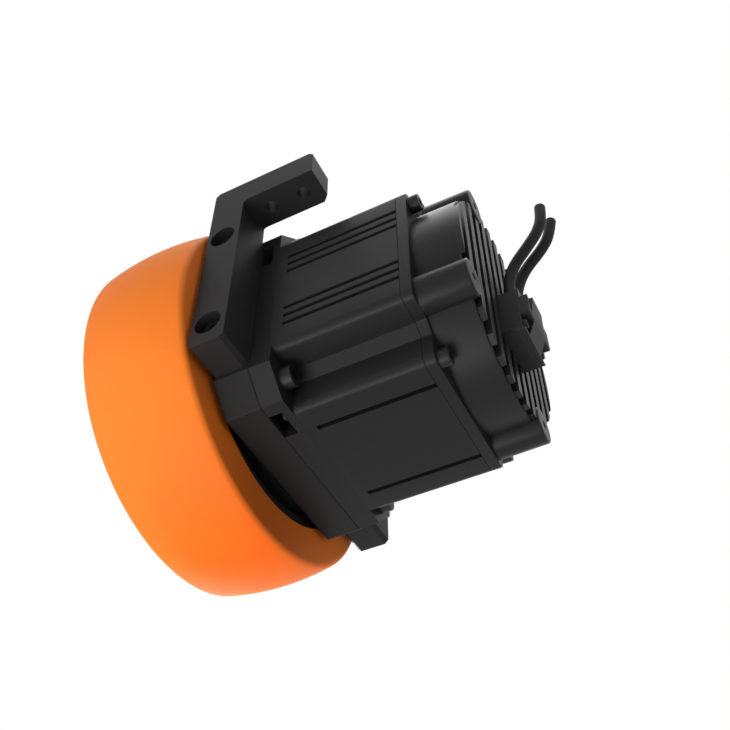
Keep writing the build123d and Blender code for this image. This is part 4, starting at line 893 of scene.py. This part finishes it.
class DRIVE_OT_housing(bpy.types.Operator):
    """Makes the motor housing with its slots, channels and pockets"""
    bl_idname = "drive.housing"
    bl_label = "Motor housing"

    def execute(self, context):
        size = settings().housing
        legs = settings().frame
        flange = prism("flange", bevelled(square(size.side), size.flange_chamfer), 0, size.flange)
        body = prism("motor_body", motor_section(), size.flange - OVER, size.length)
        pilot = bore(legs.pilot - size.pilot_play, size.pilot_gap - legs.pilot_depth, OVER)
        housing = carve(body, [flange, pilot], "UNION")
        cutters = []
        for k in range(4):
            cuts = [self.cut(size.tie_near, size.pocket_width, size.pocket_depth, -OVER, size.pocket_length)]
            cuts += [self.cut(place, size.slot_width, size.slot_depth, size.slot_start, size.length + OVER)
                     for place in self.slots(grouped=k % 2 == 0)]
            for cut in cuts:
                cut.data.transform(Matrix.Rotation(k * math.pi / 2, 4, "Y"))
            cutters += cuts
        carve(housing, [joined("cutters", cutters)])
        carve(housing, [bore(size.bore, size.wall, size.length + OVER),
                        bore(size.bearing, size.bearing_start, size.wall + OVER),
                        bore(legs.seal, -size.wall, size.wall)])
        settle(soften(housing, BODY_EDGE), "frame", "black_casting", "motor_housing")
        return {"FINISHED"}

    def cut(self, place, width, depth, start, end):
        """Cutter of one groove or pocket in the side at positive x."""
        side = settings().housing.side
        outline = box_outline(side - depth, side + OVER, place - width / 2, place + width / 2)
        return prism("cutter", outline, start, end)

    def slots(self, grouped):
        """Place of each groove on one side."""
        size = settings().housing
        if not grouped:
            return [size.single_slot, -size.single_slot]
        return [sign * size.group_slot + step * size.group_pitch for sign in (1, -1)
                for step in (-1, 0, 1)]


class DRIVE_OT_screws(bpy.types.Operator):
    """Sets the cap screws of brackets, motor and rear cover"""
    bl_idname = "drive.screws"
    bl_label = "Screws"

    def execute(self, context):
        motor = settings().housing
        legs = settings().frame
        seat = legs.plate_side + legs.leg - legs.bore_depth
        side = [((sx * seat, -legs.screw_inset, sz * legs.screw_z), (0, 0, -sx * math.pi / 2))
                for sx, sz in CORNERS]
        front = [((sx * motor.screw_place, motor.flange, sz * motor.screw_place),
                  (0, FLANGE_TURN[0] * sx + FLANGE_TURN[1] * sz, 0)) for sx, sz in CORNERS]
        rear = round_places(4, (motor.tie_far, motor.length + settings().cover.flange, motor.tie_near))
        for name, kind, places, node in (("leg_cap_screws", "m5", side, "bracket_screws"),
                                         ("flange_cap_screws", "m4", front, "motor_screws"),
                                         ("cover_cap_screws", "m3", rear, "tie_screws")):
            settle_screws(name, cap_screw(screw_of(kind)), places, "frame", node)
        return {"FINISHED"}


class DRIVE_OT_cover(bpy.types.Operator):
    """Makes the rear cover with its fins and bosses"""
    bl_idname = "drive.cover"
    bl_label = "Rear cover"

    def execute(self, context):
        size = settings().cover
        start = settings().housing.length
        face = start + size.flange
        flange = prism("flange", motor_section(), start, face)
        carve(flange, [bore(size.inner, start - OVER, face + OVER)])
        foot = face - 2 * OVER
        space = size.rim_radius - size.lip
        profile = [(0, size.web), (size.inner, size.web), (size.inner, foot), (size.radius, foot),
                   (size.radius, face), (size.rim_radius, size.rim), (space, size.rim),
                   (space, size.floor), (0, size.floor)]
        radii = [0, 0, 0, 0, 0, size.rim_round, size.rim_round, size.floor_round, 0]
        wall = shade(turned("wall", rounded(profile, radii)))
        bosses = [self.boss(size.boss_angle + k * math.pi / 2, face) for k in range(4)]
        cover = joined("finned_cover", [soften(flange, BODY_EDGE), wall, self.fins()] + bosses)
        settle(cover, "frame", "black_casting", "rear_cover")
        return {"FINISHED"}

    def boss(self, angle, face):
        """One tapered boss with the hole in its end."""
        size = settings().cover
        end = size.boss_end
        bottom = end - size.boss_depth
        profile = [(0, face - OVER), (size.boss_base, face - OVER), (size.boss_tip, end),
                   (size.boss_hole, end), (size.boss_hole, bottom), (0, bottom)]
        outline = rounded(profile, [0, 0, size.boss_round, size.hole_round, 0, 0], steps=4)
        place = (size.boss_circle * math.cos(angle), -size.boss_circle * math.sin(angle))
        return shade(turned("boss", outline, MEDIUM, place))

    def fins(self):
        """The fins with room for the connector; the last one on each side is the raised wall itself."""
        size = settings().cover
        plug = settings().plug
        foot = size.floor - FIN_FOOT
        fins = grow(new_object("fins", bpy.data.meshes.new("fins")), fins_tree(), {
            "Count": 2 * size.fins_per_side - 1, "Pitch": size.fin_pitch, "Thickness": size.fin_thickness,
            "Circle": size.fin_circle, "Floor": foot, "Top": size.fin_top,
            "Material": finish("black_casting")})
        half = plug.width / 2 + plug.room
        outline = box_outline(-half, half, plug.top - plug.height - plug.room, plug.top + plug.room)
        carve(fins, [prism("cutter", outline, plug.seat, size.fin_top + OVER)])
        pieces = [soften(fins, FINE_EDGE, steps=2),
                  soften(prism("pad", outline, size.floor - OVER, plug.seat), PAD_EDGE, steps=2)]
        reach = math.acos((size.fins_per_side * size.fin_pitch - size.fin_thickness / 2) / size.rim_radius)
        angles = [reach * k / ARC_STEPS for k in range(-ARC_STEPS, ARC_STEPS + 1)]
        for sx in (1, -1):
            arc = [(sx * size.rim_radius * math.cos(a), size.rim_radius * math.sin(a)) for a in angles]
            pieces.append(soften(prism("side", arc, foot, size.fin_top), FINE_EDGE, steps=2))
        return joined("fins", pieces)


# Routes of the two leads in metres: y from the foot of the connector and z from its cable side
POWER_ROUTE = [(0.0038, -0.0014), (0.0037, 0.005), (0.0046, 0.0125), (0.007, 0.0184), (0.0127, 0.0254),
               (0.0166, 0.0307), (0.019, 0.037), (0.0194, 0.0435)]
SIGNAL_ROUTE = [(0.0037, -0.0014), (0.0038, 0.0059), (0.0047, 0.0134), (0.0068, 0.0194), (0.0098, 0.0241),
                (0.0161, 0.0307), (0.0194, 0.0369), (0.0208, 0.0435)]

# For each lead: its piece, its route, its side of the axis and its CAD node
LEADS = [("power_lead", POWER_ROUTE, 1, "power_cable"), ("signal_lead", SIGNAL_ROUTE, -1, "signal_cable")]


class DRIVE_OT_connector(bpy.types.Operator):
    """Makes the connector with its lid and the lid's screws"""
    bl_idname = "drive.connector"
    bl_label = "Connector"

    def execute(self, context):
        size = settings().plug
        screws = settings().screws
        cables = settings().cables
        half = size.width / 2
        bottom = size.top - size.height
        face = size.seat + size.body
        top = face + size.base
        crest = top + size.ridge
        step = size.top - size.ridge_inset
        slope = step - size.ridge_width
        section = bevelled(box_outline(-half, half, bottom, size.top), size.edge)
        body = prism("connector_block", section, size.seat, face)
        middle = (bottom + size.top) / 2
        neck = box_outline(-size.neck / 2, size.neck / 2, middle - size.neck / 2, middle + size.neck / 2)
        carve(body, [prism("neck", neck, size.neck_end, size.seat + OVER)], "UNION")
        entries = [drill(cables.radius + cables.play, size.top - cables.entry, size.top + OVER,
                         (sx * cables.place, size.seat + route[0][0]), "Z")
                   for name, route, sx, node in LEADS]
        settle(soften(carve(body, entries), FINE_EDGE), "frame", "connector_plastic", "connector_body")

        profile = [(face, size.top), (top, size.top), (top, step), (crest, step), (crest, slope),
                   (top, bottom), (face, bottom)]
        lid = prism("lid", profile, -half, half, "X")
        carve(lid, [prism("cutter", section, face - OVER, crest + OVER)], "INTERSECT")
        carve(lid, [self.latch(crest, step, slope)], "UNION")
        pockets = []
        for sx in (1, -1):
            outline = box_outline(*span(sx, half - size.pocket, half + OVER), bottom + size.edge,
                                  slope - size.edge)
            pockets.append(prism("cutter", outline, top - size.edge, crest + OVER))
        settle(soften(carve(lid, pockets), FINE_EDGE), "frame", "connector_plastic", "connector_lid")

        screw = pan_screw(screws.pan_radius, screws.pan_height, screws.pan_reach)
        places = [((sx * (half - size.pocket / 2), top - size.edge, (slope + bottom) / 2),
                   (0, LID_TURN * sx, 0)) for sx in (1, -1)]
        settle_screws("lid_pan_screws", screw, places, "frame", "connector_screws")
        return {"FINISHED"}

    def latch(self, crest, step, slope):
        """Wedge on the ridge, highest at the ridge's step and sloping away at one end."""
        size = settings().plug
        foot = crest - OVER
        peak = crest + size.latch
        start = size.latch_start
        end = start - size.latch_width
        tail = end - size.latch_slope
        section = [(foot, step), (peak, step), (crest, slope), (foot, slope)]
        front = [(start, foot), (start, peak), (end, peak), (tail, crest), (tail, foot)]
        latch = prism("latch", section, tail, start, "X")
        return carve(latch, [prism("cutter", front, slope, step, "Z")], "INTERSECT")


class DRIVE_OT_cables(bpy.types.Operator):
    """Lays the two free leads"""
    bl_idname = "drive.cables"
    bl_label = "Cables"

    def execute(self, context):
        for name, route, sx, node in LEADS:
            self.lead(name, route, sx, node)
        return {"FINISHED"}

    def lead(self, name, route, sx, node):
        """One lead as a smooth curve with blunt ends."""
        size = settings().cables
        plug = settings().plug
        line = bpy.data.curves.new(name, "CURVE")
        line.dimensions = "3D"
        line.bevel_depth = size.radius
        line.bevel_resolution = 8
        line.use_fill_caps = True
        spline = line.splines.new("NURBS")
        points = [PLACE + Vector((sx * size.place, plug.seat + y, plug.top + z)) for y, z in route]
        spline.points.add(len(points) - 1)
        for knot, point in zip(spline.points, points):
            knot.co = (*point, 1.0)
        spline.order_u = 3
        spline.use_endpoint_u = True
        spline.resolution_u = 16
        lead = new_object(name, line)
        line.materials.append(finish("cable_sleeve"))
        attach(lead, "frame")
        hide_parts(node)


class DRIVE_OT_stage(bpy.types.Operator):
    """Sets floor, world, lamps and the camera of the photograph"""
    bl_idname = "drive.stage"
    bl_label = "Stage"

    def execute(self, context):
        scene = context.scene
        scene.view_settings.view_transform = "Standard"
        self.floor()
        self.world(scene)
        for name, place, size, power in LAMPS:
            self.lamp(name, Vector(place), size, power)
        self.camera(scene)
        return {"FINISHED"}

    def floor(self):
        """A pale floor under the wheel, which only rays from above see; lamps and reflections pass it."""
        low = SOLID_BOX[0][2] - FLOOR_GAP
        floor = new_object("floor", bpy.data.meshes.new("floor"))
        corners = [(x, y, low) for x, y in square(FLOOR_REACH)]
        floor.data.from_pydata(corners, [], [(0, 1, 2, 3)])
        material = bpy.data.materials.new("pale_floor")
        tree = own_tree(material)
        pale = feed(tree, tree.nodes["Principled BSDF"], {"Base Color": FLOOR_COLOUR, "Roughness": 0.9})
        clear = add_node(tree, "ShaderNodeBsdfTransparent")
        below = add_node(tree, "ShaderNodeNewGeometry").outputs["Backfacing"]
        path = add_node(tree, "ShaderNodeLightPath").outputs
        hidden = self.any_of(tree, below, path["Is Shadow Ray"], path["Is Glossy Ray"])
        self.mix(tree, hidden, pale, clear, "Material Output")
        floor.data.materials.append(material)

    def world(self, scene):
        """White to the eye and in reflections, softer as a light."""
        scene.world = bpy.data.worlds.new("studio")
        tree = own_tree(scene.world)
        light = feed(tree, tree.nodes["Background"], {"Color": WHITE, "Strength": WORLD_STRENGTH})
        white = add_node(tree, "ShaderNodeBackground", {"Color": WHITE, "Strength": 1.0})
        path = add_node(tree, "ShaderNodeLightPath").outputs
        seen = self.any_of(tree, path["Is Camera Ray"], path["Is Glossy Ray"], path["Is Transmission Ray"])
        self.mix(tree, seen, light, white, "World Output")

    def any_of(self, tree, first, second, third):
        """One where at least one of three outputs is one, and otherwise zero."""
        return calculate(tree, "MAXIMUM", calculate(tree, "MAXIMUM", first, second), third)

    def mix(self, tree, share, first, second, output):
        """Shows a mix of two shaders, with a share of the second."""
        blend = add_node(tree, "ShaderNodeMixShader", {0: share, 1: first, 2: second})
        feed(tree, tree.nodes[output], {"Surface": blend})

    def lamp(self, name, place, size, power):
        """A soft square lamp that faces the unit."""
        data = bpy.data.lights.new(name, "AREA")
        data.size = size
        data.energy = power
        obj = new_object(name, data)
        obj.location = place
        obj.rotation_euler = (Vector((0, 0, PLACE.z)) - place).to_track_quat("-Z", "Y").to_euler()

    def camera(self, scene):
        """The camera that was solved from the photograph's edges."""
        data = bpy.data.cameras.new("photo_camera")
        data.sensor_width = SENSOR
        data.lens = CAMERA_FOCUS * SENSOR / IMAGE_SIZE
        data.shift_x = (IMAGE_SIZE / 2 - CAMERA_CENTRE[0]) / IMAGE_SIZE
        data.shift_y = (CAMERA_CENTRE[1] - IMAGE_SIZE / 2) / IMAGE_SIZE
        data.clip_start, data.clip_end = CAMERA_RANGE
        forward = Vector(CAMERA_FORWARD).normalized()
        right = Vector(CAMERA_RIGHT)
        right = (right - forward * right.dot(forward)).normalized()
        turn = Matrix((right, right.cross(forward), -forward)).transposed().to_4x4()
        scene.camera = new_object("photo_camera", data)
        scene.camera.matrix_world = Matrix.Translation(PLACE + Vector(CAMERA_PLACE)) @ turn


# Camera about the wheel axis: sensor in millimetres, focus and centre in image points, place and range
# in metres, and its directions
IMAGE_SIZE = 730
SENSOR = 36.0
CAMERA_FOCUS = 980.9
CAMERA_CENTRE = (365.05, 365.14)
CAMERA_PLACE = (0.19767, 0.11674, -0.24156)
CAMERA_RIGHT = (-0.4515, 0.8923, -0.0054)
CAMERA_FORWARD = (-0.6039, -0.3011, 0.7380)
CAMERA_RANGE = (0.01, 20)

# Floor: half its side and its distance under the unit, in metres, and its colour
FLOOR_REACH = 3.0
FLOOR_GAP = 0.0005
FLOOR_COLOUR = (0.86, 0.86, 0.86, 1)

# Lamps: name, place in metres, side and power in watts
LAMPS = [
    ("key", (0.26, -0.2, -0.93), 0.4, 4.2),
    ("fill", (0.6, -0.3, -0.7), 0.5, 2.0),
    ("side", (0.7, -0.7, 0.0), 0.5, 1.8),
    ("front", (-0.5, -0.7, 0.1), 0.5, 5.4),
    ("back", (0.3, 0.9, 0.3), 0.5, 0.3),
    ("top", (0.0, 0.1, 1.1), 0.9, 6.0),
]
WHITE = (1, 1, 1, 1)
WORLD_STRENGTH = 0.25


class DRIVE_PT_panel(bpy.types.Panel):
    """Buttons for every piece of the unit"""
    bl_idname = "DRIVE_PT_panel"
    bl_label = "Drive unit"
    bl_space_type = "VIEW_3D"
    bl_region_type = "UI"
    bl_category = "Drive unit"

    def draw(self, context):
        for operator in OPERATORS:
            self.layout.operator(operator.bl_idname)


SIZE_GROUPS = [TyreSizes, HubSizes, FrameSizes, HousingSizes, CoverSizes, PlugSizes, CableSizes, ScrewSizes,
               FinishColours, UnitSettings]
OPERATORS = [DRIVE_OT_frame, DRIVE_OT_tyre, DRIVE_OT_hub, DRIVE_OT_brackets, DRIVE_OT_housing,
             DRIVE_OT_screws, DRIVE_OT_cover, DRIVE_OT_connector, DRIVE_OT_cables, DRIVE_OT_stage]
CLASSES = SIZE_GROUPS + OPERATORS + [DRIVE_PT_panel]


def register():
    for item in CLASSES:
        bpy.utils.register_class(item)
    bpy.types.Scene.drive_unit = bpy.props.PointerProperty(type=UnitSettings)


def unregister():
    del bpy.types.Scene.drive_unit
    for item in reversed(CLASSES):
        bpy.utils.unregister_class(item)


def main():
    register()
    for operator in OPERATORS:
        group, name = operator.bl_idname.split(".")
        getattr(getattr(bpy.ops, group), name)()


if __name__ == "__main__":
    main()
